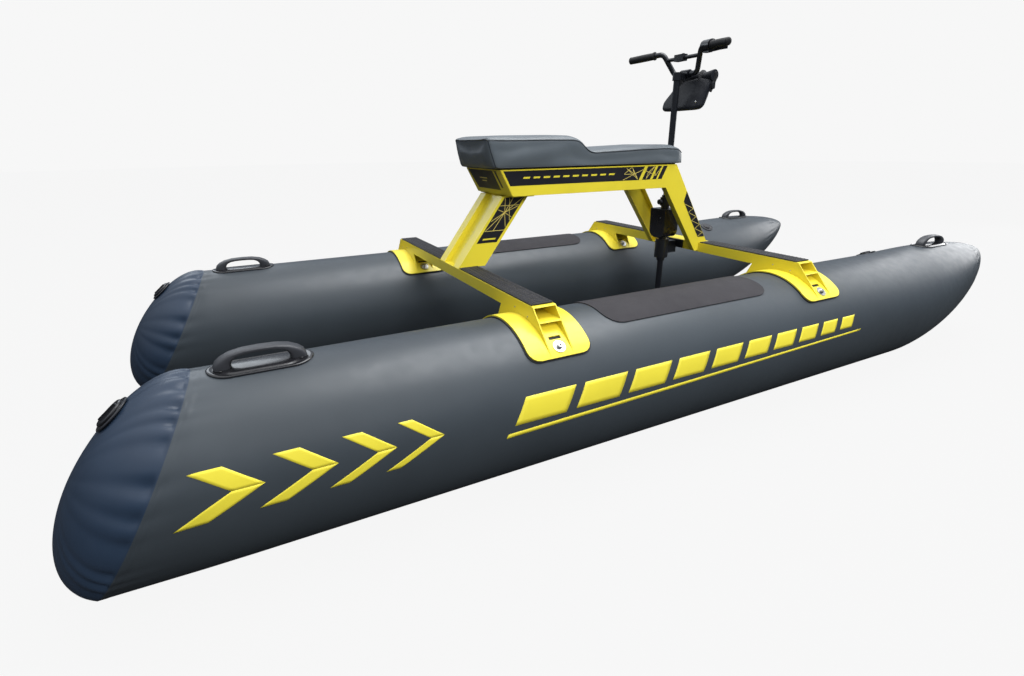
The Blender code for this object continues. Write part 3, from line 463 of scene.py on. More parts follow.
def pontoon(name, side):
    """The smooth skin: domed stern panel, taped and gathered seams, tube and upturned bow."""
    angles = turns(AROUND)
    near_seam = [0.0, 0.006, 0.012, TAPE_W, TAPE_W + 0.0015, 0.028, 0.040, 0.055, 0.075, 0.10, 0.13, 0.17, 0.21]
    reach = near_seam[-1]
    rings, sink = [], []

    def stern_seam(angle):
        return STERN["seam"] + STERN["slant"] * math.cos(angle)

    def bow_seam(angle):
        return BOW_SEAM_Y + BOW_SEAM_SLANT * math.cos(angle)

    def ring(y_of, depth_of=lambda a: 0.0):
        rings.append([skin(side, a, y_of(a)) for a in angles])
        sink.append([depth_of(a) for a in angles])

    def gather(angle, distance, depth, fade, count):
        proud = TAPE_PROUD if distance <= TAPE_W else 0.0
        return depth * end_gather(distance, fade) * pucker(angle, count, side) - proud

    for step in range(DOME_STEPS - 1, 0, -1):
        around = math.pi / 2 * (1 - (step / DOME_STEPS) ** 1.15)
        distance = (math.pi / 2 - around) * 0.2
        rings.append([end_point(side, a, around, STERN) for a in angles])
        sink.append([gather(a, distance, 0.0130, 0.065, STERN_PUCKERS) for a in angles])
    stern_rings = len(rings)
    for s in near_seam:
        ring(lambda a: stern_seam(a) + s, lambda a: gather(a, s, 0.0040, 0.035, STERN_PUCKERS))
    for share in (0.33, 0.66, 1.0):
        ring(lambda a: (stern_seam(a) + reach) * (1 - share) + PARALLEL_START_Y * share)
    for step in range(1, 13):
        ring(lambda a: PARALLEL_START_Y + (PARALLEL_END_Y - PARALLEL_START_Y) * step / 12)
    for step in range(1, 9):
        ring(lambda a: PARALLEL_END_Y * (1 - step / 9) + (bow_seam(a) - reach) * step / 9)
    for s in reversed(near_seam):
        ring(lambda a: bow_seam(a) - s, lambda a: gather(a, s, 0.0024, 0.035, BOW_PUCKERS))
    for s in near_seam[1:9]:
        ring(lambda a: bow_seam(a) + s, lambda a: gather(a, s, 0.0036, 0.035, BOW_PUCKERS))
    for step in range(1, 22):
        share = math.sin(math.pi / 2 * step / 22)
        ring(lambda a: (bow_seam(a) + near_seam[8]) * (1 - share) + BOW_TIP_Y * share)
    verts, faces = loft(rings, closed_ends=False)
    depth = [d for row in sink for d in row]
    tips = ((0, end_point(side, 0, 0, STERN)), (len(rings) - 1, Vector((side * PONTOON_X, BOW_TIP_Y, BOW_TIP_Z))))
    for row, tip in tips:
        verts.append(tip)
        depth.append(0.0)
        start = row * AROUND
        faces += [(start + j, start + (j + 1) % AROUND, len(verts) - 1) for j in range(AROUND)]
    obj = add_mesh(f"pontoon_skin_{name}", verts, faces, [PVC, PVC_END_PAINTED_SHADE])
    displace(obj, [-sunk for sunk in depth])
    for vertex in obj.data.vertices:
        vertex.co.z = max(vertex.co.z, GROUND)
    # The stern dome takes the darker, bluer copy of the skin: painted shade and a painted bluish reflection of a
    # panel facing away from the light.
    last_stern = (stern_rings + 1) * AROUND
    tip_index = len(verts) - 2
    for polygon in obj.data.polygons:
        corners = list(polygon.vertices)
        if tip_index in corners or max(corners) < last_stern:
            polygon.material_index = 1
    obj.data.update()
    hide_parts(f"pontoon_{name}")


def skin_patch(side, corners, steps):
    """A closed thin patch on the skin. corners are (y, arc from the top) and the patch is bilinear."""
    (y0, s0), (y1, s1), (y2, s2), (y3, s3) = corners
    across, up = steps

    def point(i, j, lift):
        u, v = i / across, j / up
        y = (1 - u) * (1 - v) * y0 + u * (1 - v) * y1 + u * v * y2 + (1 - u) * v * y3
        s = (1 - u) * (1 - v) * s0 + u * (1 - v) * s1 + u * v * s2 + (1 - u) * v * s3
        return skin(side, s / SKIN_R, y, lift)

    rows = []
    for lift in (PRINT_PROUD, -0.0003):
        rows.append([[point(i, j, lift) for i in range(across + 1)] for j in range(up + 1)])
    verts = [p for layer in rows for row in layer for p in row]
    width, layer = across + 1, (across + 1) * (up + 1)
    faces = []
    for j in range(up):
        for i in range(across):
            a = j * width + i
            faces += [(a, a + 1, a + 1 + width, a + width),
                      (layer + a, layer + a + width, layer + a + 1 + width, layer + a + 1)]
    rim = (list(range(across)) + [j * width + across for j in range(up)]
           + [up * width + i for i in range(across, 0, -1)] + [j * width for j in range(up, 0, -1)])
    for k, a in enumerate(rim):
        b = rim[(k + 1) % len(rim)]
        faces.append((a, b, layer + b, layer + a))
    return verts, faces


def pontoon_graphics(name, side):
    """Plain speed marks in the two printed zones: chevrons at the stern, long bars along the side."""
    parts = []
    lean, top, middle, bottom = 0.075, 0.268, 0.325, 0.382
    for start, width in ((-1.775, 0.066), (-1.610, 0.056), (-1.462, 0.046), (-1.330, 0.036)):
        back, point = start + 0.045, start + 0.045 + lean
        parts.append(skin_patch(side, [(back, top), (back + width, top), (point + width, middle), (point, middle)],
                                (6, 8)))
        parts.append(skin_patch(side, [(point, middle), (point + width, middle), (start + width, bottom),
                                       (start, bottom)], (6, 8)))
    y, high, gap = -0.975, 0.282, 0.034
    for index in range(10):
        length = 0.165 - 0.010 * index
        low = high + 0.072 - 0.003 * index
        lean = 0.6 * (low - high)
        parts.append(skin_patch(side, [(y + lean, high), (y + length + lean, high), (y + length, low), (y, low)],
                                (10, 6)))
        y += length + gap
    parts.append(skin_patch(side, [(-0.995, 0.374), (y + 0.03, 0.344), (y + 0.02, 0.351), (-1.003, 0.386)], (60, 2)))
    add_mesh(f"side_graphics_{name}", *merge(parts), YELLOW_PRINT)


# Carry handles.
def carry_handle(name, place, side):
    """A moulded flange that lies on the skin, an arched grip and four studs."""
    middle = HANDLE_YS[place]
    half_length, half_width = 0.1215, 0.0530

    def rim_point(share, turn, offset):
        run = half_length - half_width
        across = half_width * math.cos(turn)
        along = half_width * math.sin(turn) + (run if math.sin(turn) >= 0 else -run)
        angle = across * share / SKIN_R
        return skin(side, angle, middle + along * share, offset)

    levels = ((1.0, -0.0004), (1.0, 0.0028), (0.985, 0.0042), (0.955, 0.0050), (0.925, 0.0046), (0.905, 0.0032),
              (0.86, 0.0026), (0.80, 0.0030), (0.76, 0.0044), (0.70, 0.0050), (0.5, 0.0052), (0.25, 0.0054))
    rings = [[rim_point(share, turn, lift) for turn in turns(60)] for share, lift in levels]
    flange = add_mesh(f"handle_flange_{place}_{name}", *loft(rings), MOULDING)

    outer = [(-0.106, 0.003), (-0.105, 0.011), (-0.101, 0.020), (-0.090, 0.029), (-0.070, 0.0385), (-0.040, 0.0445),
             (0, 0.046)]
    inner = [(-0.066, 0.004), (-0.065, 0.012), (-0.062, 0.020), (-0.055, 0.0265), (-0.044, 0.0312), (-0.025, 0.0335),
             (0, 0.034)]
    outer += [(-u, v) for u, v in reversed(outer[:-1])]
    inner += [(-u, v) for u, v in reversed(inner[:-1])]
    rings = []
    half_wide = 0.0165
    for (ou, ov), (iu, iv) in zip(outer, inner):
        ring = []
        flare = 1 + 0.22 * (abs(ou) / 0.103) ** 3
        for turn in turns(20):
            c, s = squared(turn, 0.62)
            u = (ou + iu) / 2 + (ou - iu) / 2 * s
            v = (ov + iv) / 2 + (ov - iv) / 2 * s
            ring.append(skin(side, half_wide * flare * c / SKIN_R, middle + u, v))
        rings.append(ring)
    grip = add_mesh(f"handle_grip_{place}_{name}", *loft(rings), SATIN_GRIP, bevel=0.0006)
    parts = []
    for end in (-1, 1):
        for angle in (-0.022 / SKIN_R, 0.022 / SKIN_R):
            centre = skin(side, angle, middle + end * 0.090, 0.0035)
            up = Vector((side * math.sin(angle), 0, math.cos(angle)))
            parts.append(lathe(centre, up, ((0, 0.0042), (0.0022, 0.0042), (0.0030, 0.0034), (0.0031, 0.0015)), 16))
    add_mesh(f"handle_studs_{place}_{name}", *merge(parts), MOULDING)
    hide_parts(f"carry_handle_{place}_{name}")


# Seat.
SEAT_TOP = [(-0.735, 1.000), (-0.60, 1.002), (-0.45, 1.003), (-0.345, 1.001), (-0.322, 0.997),
            (-0.306, 0.988), (-0.294, 0.974), (-0.283, 0.960), (-0.268, 0.953), (-0.250, 0.952), (-0.15, 0.956),
            (0.0, 0.961), (0.112, 0.965), (0.175, 0.963), (0.208, 0.956), (0.232, 0.944)]
SEAT_REAR_HEAD = -0.729
SEAT_NOSE_HEAD = 0.231
SEAT_HALF = 0.166
SEAT_BOTTOM = 0.8930
SEAT_REAR_FOOT = -0.696
SEAT_NOSE_FOOT = 0.228
REAR_ROUND, NOSE_ROUND = 0.018, 0.052
REAR_SEAM_Z, NOSE_SEAM_Z = 0.994, 0.940
SEAM_REACH, SEAM_DEPTH = 0.016, 0.0022
VOXEL = 0.006
CLOTH = {
    "quality": 6, "mass": 0.3, "tension_stiffness": 22, "compression_stiffness": 22, "bending_stiffness": 2.0,
    "use_pressure": True, "uniform_pressure_force": 4, "vertex_group_mass": "held",
}
LAST_FRAME = 20
MOST_SWELL = 0.008
SWELL_PASSES = 30


def curve_height(points, y):
    """Height of the broken line points at y."""
    for (y0, z0), (y1, z1) in zip(points, points[1:]):
        if y <= y1:
            return z0 + (z1 - z0) * (y - y0) / (y1 - y0)
    return points[-1][1]


def seat_solid(shrink):
    """Stepped pad with a raked rear and a rounded nose, drawn in by shrink all round."""
    rings = []
    stations = 72
    for i in range(stations + 1):
        share = i / stations
        foot = SEAT_REAR_FOOT + shrink + (SEAT_NOSE_FOOT - SEAT_REAR_FOOT - 2 * shrink) * share
        head = SEAT_REAR_HEAD + shrink + (SEAT_NOSE_HEAD - SEAT_REAR_HEAD - 2 * shrink) * share
        top = curve_height(SEAT_TOP, head) - shrink
        low = SEAT_BOTTOM + 0.2 * shrink
        half = SEAT_HALF - shrink
        rear_round = max(0.0, REAR_ROUND - (head - SEAT_REAR_HEAD)) / REAR_ROUND
        nose_round = max(0.0, head - (SEAT_NOSE_HEAD - NOSE_ROUND)) / NOSE_ROUND
        half -= 0.010 * rear_round ** 2 + 0.020 * nose_round ** 2
        ring = []
        for u, v in ((-1, 0), (-1, 0.25), (-1, 0.5), (-1, 0.75), (-0.985, 0.93), (-0.93, 1), (-0.6, 1), (-0.2, 1),
                     (0.2, 1), (0.6, 1), (0.93, 1), (0.985, 0.93), (1, 0.75), (1, 0.5), (1, 0.25), (1, 0), (0.5, 0),
                     (0, 0), (-0.5, 0)):
            y = foot + (head - foot) * v
            ring.append(Vector((half * u, y, low + (top - low) * v)))
        rings.append(ring)
    return loft(rings)


def swell(obj):
    """Blows the pad up as cloth, and keeps the smoothed part of the result, because the cover is taut."""
    scene = bpy.context.scene
    rest = [vertex.co.copy() for vertex in obj.data.vertices]
    held = obj.vertex_groups.new(name="held")
    held.add([v.index for v in obj.data.vertices if v.co.z < SEAT_BOTTOM + 0.004], 1.0, "REPLACE")
    cloth = obj.modifiers.new("cloth", "CLOTH")
    for setting, value in CLOTH.items():
        setattr(cloth.settings, setting, value)
    cloth.settings.effector_weights.gravity = 0
    cloth.point_cache.frame_start = 1
    cloth.point_cache.frame_end = LAST_FRAME
    for number in range(1, LAST_FRAME + 1):
        scene.frame_set(number)
    swollen = obj.evaluated_get(bpy.context.evaluated_depsgraph_get())
    moved = [vertex.co.copy() for vertex in swollen.data.vertices]
    obj.modifiers.remove(cloth)
    steps = np.array([end - start for start, end in zip(rest, moved)])
    edges = np.array([edge.vertices[:] for edge in obj.data.edges])
    linked = np.bincount(edges.ravel(), minlength=len(steps))[:, None]
    for _ in range(SWELL_PASSES):
        total = np.zeros_like(steps)
        np.add.at(total, edges[:, 0], steps[edges[:, 1]])
        np.add.at(total, edges[:, 1], steps[edges[:, 0]])
        steps = 0.5 * steps + 0.5 * total / linked
    for vertex, start, step in zip(obj.data.vertices, rest, steps):
        step = Vector(step)
        if step.length > MOST_SWELL:
            step = step.normalized() * MOST_SWELL
        vertex.co = start + step
    scene.frame_set(1)


def cushion():
    """The padded seat: remeshed, blown up, drawn in along its seams."""
    obj = add_mesh("seat_pad", *seat_solid(0.002), VINYL)
    bpy.context.view_layer.objects.active = obj
    for other in bpy.context.selected_objects:
        other.select_set(False)
    obj.select_set(True)
    remesh = obj.modifiers.new("remesh", "REMESH")
    remesh.mode = "VOXEL"
    remesh.voxel_size = VOXEL
    bpy.ops.object.modifier_apply(modifier=remesh.name)
    swell(obj)
    for _ in range(4):
        relax(obj, 0.5)
    widest = SEAT_HALF + 0.003
    for vertex in obj.data.vertices:
        vertex.co.z = max(vertex.co.z, SEAT_BOTTOM)
        vertex.co.x = max(min(vertex.co.x, widest), -widest)
    for polygon in obj.data.polygons:
        polygon.use_smooth = True
    crease_channels(obj)
    refine(obj)
    obj.data.materials.clear()
    obj.data.materials.append(VINYL)
    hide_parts("seat_cushion")
    return obj


def relax(obj, share):
    bm = bmesh.new()
    bm.from_mesh(obj.data)
    bmesh.ops.smooth_vert(bm, verts=bm.verts, factor=share, use_axis_x=True, use_axis_y=True, use_axis_z=True)
    bm.to_mesh(obj.data)
    bm.free()


def crosswise(half, y, z, count=40):
    """A straight line across the seat."""
    return [Vector((-half + 2 * half * j / count, y, z)) for j in range(count + 1)]


def seam_lines():
    """The top seam along each side, and half the width between them."""
    half = SEAT_HALF - 0.003
    first, last = SEAT_REAR_HEAD + 0.009, SEAT_NOSE_HEAD - 0.014
    count = 90
    lines = []
    for side in (-1, 1):
        ys = [first + (last - first) * i / count for i in range(count + 1)]
        lines.append([Vector((side * half, y, curve_height(SEAT_TOP, y) - 0.006)) for y in ys])
    return lines, half


def crease_channels(obj):
    """Pulls the cover in along the top seams."""
    lines, half = seam_lines()
    points = lines[0] + lines[1] + crosswise(half, SEAT_REAR_HEAD + 0.007, REAR_SEAM_Z, 20)
    seams = KDTree(len(points))
    for index, point in enumerate(points):
        seams.insert(point, index)
    seams.balance()
    near = [min(seams.find(vertex.co)[2] / SEAM_REACH, 1) for vertex in obj.data.vertices]
    displace(obj, [-SEAM_DEPTH * (1 - share) ** 2 for share in near])


def surface_line(obj, line, lift):
    """The line laid on the surface of obj."""
    evaluated = obj.evaluated_get(bpy.context.evaluated_depsgraph_get())
    placed = []
    for point in line:
        found, where, normal, _ = evaluated.closest_point_on_mesh(point)
        placed.append(where + normal * lift if found else point)
    return placed


def evenly(points, times):
    """The line with its kinks smoothed and its ends kept."""
    for _ in range(times):
        inner = [(a + b * 2 + c) / 4 for a, b, c in zip(points, points[1:], points[2:])]
        points = [points[0]] + inner + [points[-1]]
    return points


def cord(pad, line, lift, passes, radius):
    return sweep(evenly(surface_line(pad, line, lift), passes), radius, 10)


def seat_trim(pad):
    """Cords in the seams: round the top, down the rear corners and round the lower edge."""
    bpy.context.view_layer.update()
    lines, half = seam_lines()
    lines.append(crosswise(half, SEAT_REAR_HEAD + 0.003, REAR_SEAM_Z))
    lines.append(crosswise(half - 0.012, SEAT_NOSE_HEAD - 0.006, NOSE_SEAM_Z))
    parts = [cord(pad, line, 0.0006, 3, 0.0021) for line in lines]
    low_z = SEAT_BOTTOM + 0.002
    for side in (-1, 1):
        edge = [Vector((side * (SEAT_HALF - 0.002), SEAT_REAR_FOOT + 0.006 + 0.912 * j / 80, low_z))
                for j in range(81)]
        corner = [Vector((side * (SEAT_HALF - 0.004), -0.690 - 0.033 * j / 16, 0.898 + 0.094 * j / 16))
                  for j in range(17)]
        parts += [cord(pad, edge, 0.0004, 3, 0.0022), cord(pad, corner, 0.0004, 2, 0.0017)]
    for inset, y in ((0.002, SEAT_REAR_FOOT + 0.004), (0.020, SEAT_NOSE_FOOT - 0.004)):
        parts.append(cord(pad, crosswise(SEAT_HALF - inset, y, low_z), 0.0004, 3, 0.0022))
    trim = add_mesh("seat_piping", *merge(parts), PIPING)


# Decals on the frame.
def on_side(side):
    return lambda y, z, lift: Vector((side * (SIDE_FACE_X + lift), y, z))


def on_leg(side):
    return lambda y, z, lift: Vector((side * (LEG_FACE_X + lift), y, z))


def on_end_plate(x, z, lift):
    return Vector((x, -0.6704 + (0.889 - z) * 0.5313 - 0.8831 * lift, z - 0.4691 * lift))


def front_edge(z):
    return FRONT_EDGE_Y + (z - FRONT_EDGE_Z) * FRONT_SLOPE


def leg_rear(z):
    return LEG_FOOT_Y + (z - LEG_FOOT_Z) * LEG_LEAN


def printed(outline, place):
    return plate(outline, place, DECAL + LINE, -0.0002)


def frame_decals(name, side):
    """Black film with stripes, dashes and thin lines on the seat beam, the front leg and the rear leg."""
    place = on_side(side)
    film = [plate([(-0.657, DECAL_TOP), (-0.629, DECAL_FOOT), (0.106, DECAL_FOOT), (0.134, DECAL_TOP)], place, DECAL)]
    prints, lines = [], []
    for start, width in ((-0.020, 0.017), (0.040, 0.013), (0.074, 0.009)):
        prints.append(printed([(start, DECAL_FOOT), (start + width, DECAL_FOOT), (start + width + 0.028, DECAL_TOP),
                               (start + 0.028, DECAL_TOP)], place))
    mesh_points = [(-0.105, 0.8335), (-0.060, 0.8835), (-0.025, 0.8335), (-0.090, 0.8800), (-0.045, 0.8560),
                   (-0.100, 0.8560), (0.0, 0.8720), (0.018, 0.8340), (0.062, 0.8835), (0.030, 0.8610),
                   (0.070, 0.8460), (0.100, 0.8790)]
    links = [(0, 4), (3, 4), (5, 4), (1, 4), (2, 4), (4, 6), (1, 2), (3, 2), (5, 1), (7, 9), (6, 9), (9, 8),
             (7, 8), (9, 10), (10, 11), (8, 10)]
    lines += [stroke(mesh_points[a], mesh_points[b], 0.0016, place) for a, b in links]
    for k in range(10):
        y = -0.575 + 0.044 * k
        prints.append(printed([(y, 0.8555), (y + 0.028, 0.8555), (y + 0.031, 0.8620), (y + 0.003, 0.8620)], place))
    strip = [(front_edge(0.772) - 0.0020, 0.772), (front_edge(0.560) - 0.0020, 0.560),
             (front_edge(0.560) - 0.0440, 0.560), (front_edge(0.728) - 0.0440, 0.728)]
    film.append(plate(strip, place, DECAL))
    for k in range(4):
        high_z, mid_z, low_z = 0.716 - 0.038 * k, 0.694 - 0.038 * k, 0.678 - 0.038 * k
        for start, end in (((front_edge(high_z) - 0.042, high_z), (front_edge(mid_z) - 0.004, mid_z)),
                           ((front_edge(mid_z) - 0.004, mid_z), (front_edge(low_z) - 0.042, low_z))):
            lines.append(stroke(start, end, 0.0016, place))
    leg = on_leg(side)
    film.append(plate([(leg_rear(0.620) + 0.012, 0.620), (leg_rear(0.620) + 0.098, 0.620),
                       (leg_rear(0.786) + 0.098, 0.786), (leg_rear(0.786) + 0.012, 0.786)], leg, DECAL))
    centre = (leg_rear(0.730) + 0.052, 0.730)
    for y_off, z in ((0.016, 0.784), (0.050, 0.784), (0.094, 0.784), (0.094, 0.752), (0.094, 0.712), (0.094, 0.676),
                     (0.050, 0.664), (0.016, 0.664), (0.016, 0.700), (0.016, 0.742)):
        lines.append(stroke(centre, (leg_rear(z) + y_off, z), 0.0017, leg))
    for (a, za), (b, zb) in (((0.014, 0.664), (0.096, 0.664)), ((0.014, 0.756), (0.096, 0.756)),
                             ((0.034, 0.784), (0.094, 0.700))):
        lines.append(stroke((leg_rear(za) + a, za), (leg_rear(zb) + b, zb), 0.0017, leg))
    y = leg_rear(0.634) + 0.026
    prints.append(printed([(y, 0.631), (y + 0.054, 0.631), (y + 0.0585, 0.637), (y + 0.0045, 0.637)], leg))
    add_mesh(f"frame_film_{name}", *merge(film), BLACK_PRINT, smooth=False)
    add_mesh(f"frame_print_{name}", *merge(prints), YELLOW_PRINT, smooth=False)
    add_mesh(f"frame_lines_{name}", *merge(lines), GOLD_PRINT, smooth=False)


def end_plate_decals():
    """Black film on the slanted end of the seat beam, with two plain bars."""
    film = [plate([(-0.140, 0.884), (-0.122, 0.812), (0.082, 0.812), (0.082, 0.884)], on_end_plate, DECAL),
            plate([(0.098, 0.884), (0.098, 0.822), (0.112, 0.822), (0.112, 0.884)], on_end_plate, DECAL)]
    add_mesh("end_plate_film", *merge(film), BLACK_PRINT, smooth=False)
    lines = [stroke((-0.062, 0.854), (0.004, 0.854), 0.0030, on_end_plate),
             stroke((-0.050, 0.843), (-0.008, 0.843), 0.0030, on_end_plate)]
    add_mesh("end_plate_lines", *merge(lines), GOLD_PRINT, smooth=False)


# Small details.
def tread_ribs(node):
    """Rows of raised ribs in a herringbone, as on a moulded foot tread."""
    low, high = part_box(node)
    parts = []
    pitch_x, rows = 0.0170, 5
    pitch_y = (high.y - low.y - 0.006) / rows
    count = int((high.x - low.x - 0.010) / pitch_x)
    start_x = (low.x + high.x) / 2 - count * pitch_x / 2
    for row in range(rows):
        for column in range(count):
            centre_x = start_x + (column + 0.5) * pitch_x
            centre_y = low.y + 0.003 + (row + 0.5) * pitch_y
            turn = math.radians(-38 if row % 2 else 38)
            along = Vector((math.cos(turn), math.sin(turn), 0))
            across = Vector((-along.y, along.x, 0))
            rings = []
            for wide, length, z in ((0.0040, 0.0086, high.z - 0.0004), (0.0036, 0.0083, high.z + 0.0007),
                                    (0.0022, 0.0070, high.z + 0.0017)):
                rings.append([Vector((centre_x, centre_y, z)) + along * (length * a) + across * (wide * b)
                              for a, b in ((-1, -1), (1, -1), (1, 1), (-1, 1))])
            parts.append(loft(rings))
    ribs = add_mesh(f"ribs_{node}", *merge(parts), TREAD, smooth=False)


def grip(name, side, length):
    """A rubber grip with fine rings, a flange at its inner end and a domed cap."""
    end = Vector((side * 0.2865, 0.262 - 0.0015 * 0.2250, 1.3439))
    out = Vector((side * 0.9733, -0.2250, -0.0450)).normalized()
    profile = [(-length, 0.0118), (-length, 0.0176), (-length + 0.004, 0.0176), (-length + 0.0055, 0.0152)]
    rings = 22
    span = length - 0.018
    for k in range(rings):
        s = -length + 0.008 + span * k / rings
        taper = 0.0146 + 0.0006 * math.sin(math.pi * k / rings)
        profile += [(s, taper), (s + span / rings * 0.35, taper + 0.0007), (s + span / rings * 0.7, taper)]
    profile += [(-0.008, 0.0150), (-0.003, 0.0155), (0.002, 0.0150), (0.0055, 0.0110), (0.0070, 0.0050)]
    obj = add_mesh(f"grip_rubber_{name}", *lathe(end, out, profile, 40), RUBBER, body="column")
    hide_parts(f"grip_{name}")


# Handlebar bag.
BAG_FOOT_Z, BAG_HEIGHT = 1.1115, 0.128
ROLL_START_X, ROLL_LENGTH, ROLL_Y, ROLL_Z = -0.074, 0.196, 0.3900, 1.2450


def bag():
    """A roll-top bag: a slack lofted body that widens downwards, its mouth rolled and strapped."""
    levels = 26
    rings = []
    for i in range(levels + 1):
        t = i / levels
        z = BAG_FOOT_Z + t * BAG_HEIGHT
        low_round = max(0.0, 1 - t / 0.16)
        half_left = 0.131 - 0.060 * max(0.0, (t - 0.30) / 0.70) ** 1.1
        half_right = 0.108 + 0.011 * t
        middle = 0.3440 + 0.040 * t
        deep = 0.027 - 0.010 * t + 0.004 * math.sin(math.pi * t)
        shrink = 1 - 0.16 * low_round ** 2
        ring = []
        for turn in turns(64):
            c, s = math.cos(turn), math.sin(turn)
            half = (half_right if c > 0 else half_left) * shrink
            x = half * math.copysign(abs(c) ** 0.55, c)
            y = middle + deep * (1 - 0.35 * low_round ** 2) * math.copysign(abs(s) ** 0.75, s)
            fold = noise.noise(Vector((x * 16, t * 3.2, s * 1.5))) * 0.0045 * (0.35 + t)
            sag = 0.0035 * math.sin(3.1 * x / 0.1) * t
            ring.append(Vector((x, y + fold * (1 if s > 0 else -1), z + sag)))
        rings.append(ring)
    body = add_mesh("bag_body", *loft(rings), TARPAULIN, body="column")
    refine(body)
    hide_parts("handlebar_bag")

    rings = []
    for k in range(73):
        x = ROLL_START_X + ROLL_LENGTH * k / 72
        ring = []
        crumple = noise.noise(Vector((x * 22, 3, 1)))
        for turn in turns(36):
            spiral = 1 + 0.16 * ((turn / (2 * math.pi) + 0.15) % 1)
            y = ROLL_Y + 0.0205 * spiral * (1 + 0.10 * crumple) * math.cos(turn)
            rise = 0.004 * crumple + 0.0025 * math.sin(61 * x)
            ring.append(Vector((x, y, ROLL_Z + rise + 0.0225 * spiral * (1 - 0.08 * crumple) * math.sin(turn))))
        rings.append(ring)
    roll = add_mesh("bag_roll_top", *loft(rings), TARPAULIN, body="column", bevel=0.0012)

    straps = []
    for x in (-0.045, 0.062):
        path = [Vector((x, y, z)) for y, z in ((0.3640, 1.2150), (0.3630, 1.2460), (0.3760, 1.2700), (0.3980, 1.2710),
                                               (0.4160, 1.2500), (0.4120, 1.2150), (0.4000, 1.1850))]
        straps.append(sweep(evenly(subdivided(path, 5), 4), 0.0085, 12, flat=0.12))
    end_strap = [Vector(point) for point in ((0.1235, 0.3900, 1.2620), (0.1250, 0.3900, 1.2380),
                                             (0.1225, 0.3840, 1.2080), (0.1160, 0.3760, 1.1830))]
    straps.append(sweep(subdivided(end_strap, 5), 0.0075, 12, flat=0.16))
    webs = add_mesh("bag_straps", *merge(straps), WEBBING, body="column")

    rounded = [squared(turn, 0.5) for turn in turns(24)]
    rings = []
    for x, scale in ((0.1195, 0.80), (0.1205, 0.95), (0.1260, 0.95), (0.1275, 0.75)):
        rings.append([Vector((x, 0.3850 + 0.0105 * scale * u, 1.2080 + 0.0150 * scale * v)) for u, v in rounded])
    buckle = add_mesh("bag_buckle", *loft(rings), MOULDING, body="column", bevel=0.0005)
    stud = lathe((0.094, 0.3200, 1.1430), (0.25, -1, 0),
                 ((-0.004, 0.0040), (0.0008, 0.0040), (0.0018, 0.0030), (0.0020, 0.0012)), 20)
    cap = add_mesh("bag_stud", *stud, STEEL, body="column")


def subdivided(points, times):
    """The line with more points on each of its straight runs."""
    fine = []
    for a, b in zip(points, points[1:]):
        fine += [a.lerp(b, k / times) for k in range(times)]
    return fine + [points[-1]]


def small_parts():
    """The display's window and the plug in the back of the drive head."""
    low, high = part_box("display_unit")
    inset = 0.004
    glass = loft([[Vector((x, y, high.z + z)) for x, y in (
        (low.x + inset, low.y + inset), (high.x - 0.020, low.y + inset), (high.x - 0.020, high.y - inset),
        (low.x + inset, high.y - inset))] for z in (-0.0004, 0.0005)])
    add_mesh("display_window", *glass, GLASS, body="column", smooth=False)
    low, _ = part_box("drive_head")
    dot = lathe((0.020, low.y + 0.0004, 0.640), (0, -1, 0),
                ((-0.002, 0.0036), (0.0008, 0.0036), (0.0014, 0.0026), (0.0015, 0.0010)), 20)
    add_mesh("head_plug", *dot, GREY_DOT, body="steering_head")


def rivets():
    """Rivet heads on the rear face of each beam."""
    parts = []
    profile = ((-0.001, 0.0030), (0.0006, 0.0030), (0.0013, 0.0020), (0.0014, 0.0008))
    for beam_y in (-0.787, 0.412):
        for side in (-1, 1):
            for x, z in ((0.560, 0.5050), (0.640, 0.4950)):
                parts.append(lathe((side * x, beam_y - BEAM_HALF, z), (0, -1, 0), profile, 16))
    heads = add_mesh("beam_rivets", *merge(parts), STEEL)


# Studio.
SKY = ((0.0, (0.015, 0.015, 0.016)), (0.44, (0.025, 0.027, 0.032)), (0.52, (0.10, 0.115, 0.14)),
       (0.68, (0.36, 0.40, 0.46)), (0.86, (0.95, 0.98, 1.02)), (1.0, (1.15, 1.17, 1.20)))
FLOOR_R, FLOOR_Z = 30.0, -0.0008


def backdrop():
    """A plain pale ground to the camera, and a soft sky to everything else."""
    world = bpy.data.worlds.new("studio")
    bpy.context.scene.world = world
    world.use_nodes = True
    new, link = world.node_tree.nodes.new, world.node_tree.links.new
    world.node_tree.nodes.clear()
    seen, lit = new("ShaderNodeBackground"), new("ShaderNodeBackground")
    seen.inputs["Color"].default_value = (0.93, 0.93, 0.93, 1)
    split, ramp, spread = new("ShaderNodeSeparateXYZ"), new("ShaderNodeValToRGB"), new("ShaderNodeMapRange")
    spread.inputs["From Min"].default_value = -1
    spread.inputs["From Max"].default_value = 1
    first, *between, last = SKY
    for element, (position, colour) in zip(ramp.color_ramp.elements, (first, last)):
        element.position = position
        element.color = (*colour, 1)
    for position, colour in between:
        ramp.color_ramp.elements.new(position).color = (*colour, 1)
    link(new("ShaderNodeTexCoord").outputs["Generated"], split.inputs[0])
    link(split.outputs["Z"], spread.inputs["Value"])
    link(spread.outputs["Result"], ramp.inputs[0])
    link(ramp.outputs[0], lit.inputs["Color"])
    mix = new("ShaderNodeMixShader")
    link(new("ShaderNodeLightPath").outputs["Is Camera Ray"], mix.inputs[0])
    link(lit.outputs[0], mix.inputs[1])
    link(seen.outputs[0], mix.inputs[2])
    link(mix.outputs[0], new("ShaderNodeOutputWorld").inputs[0])


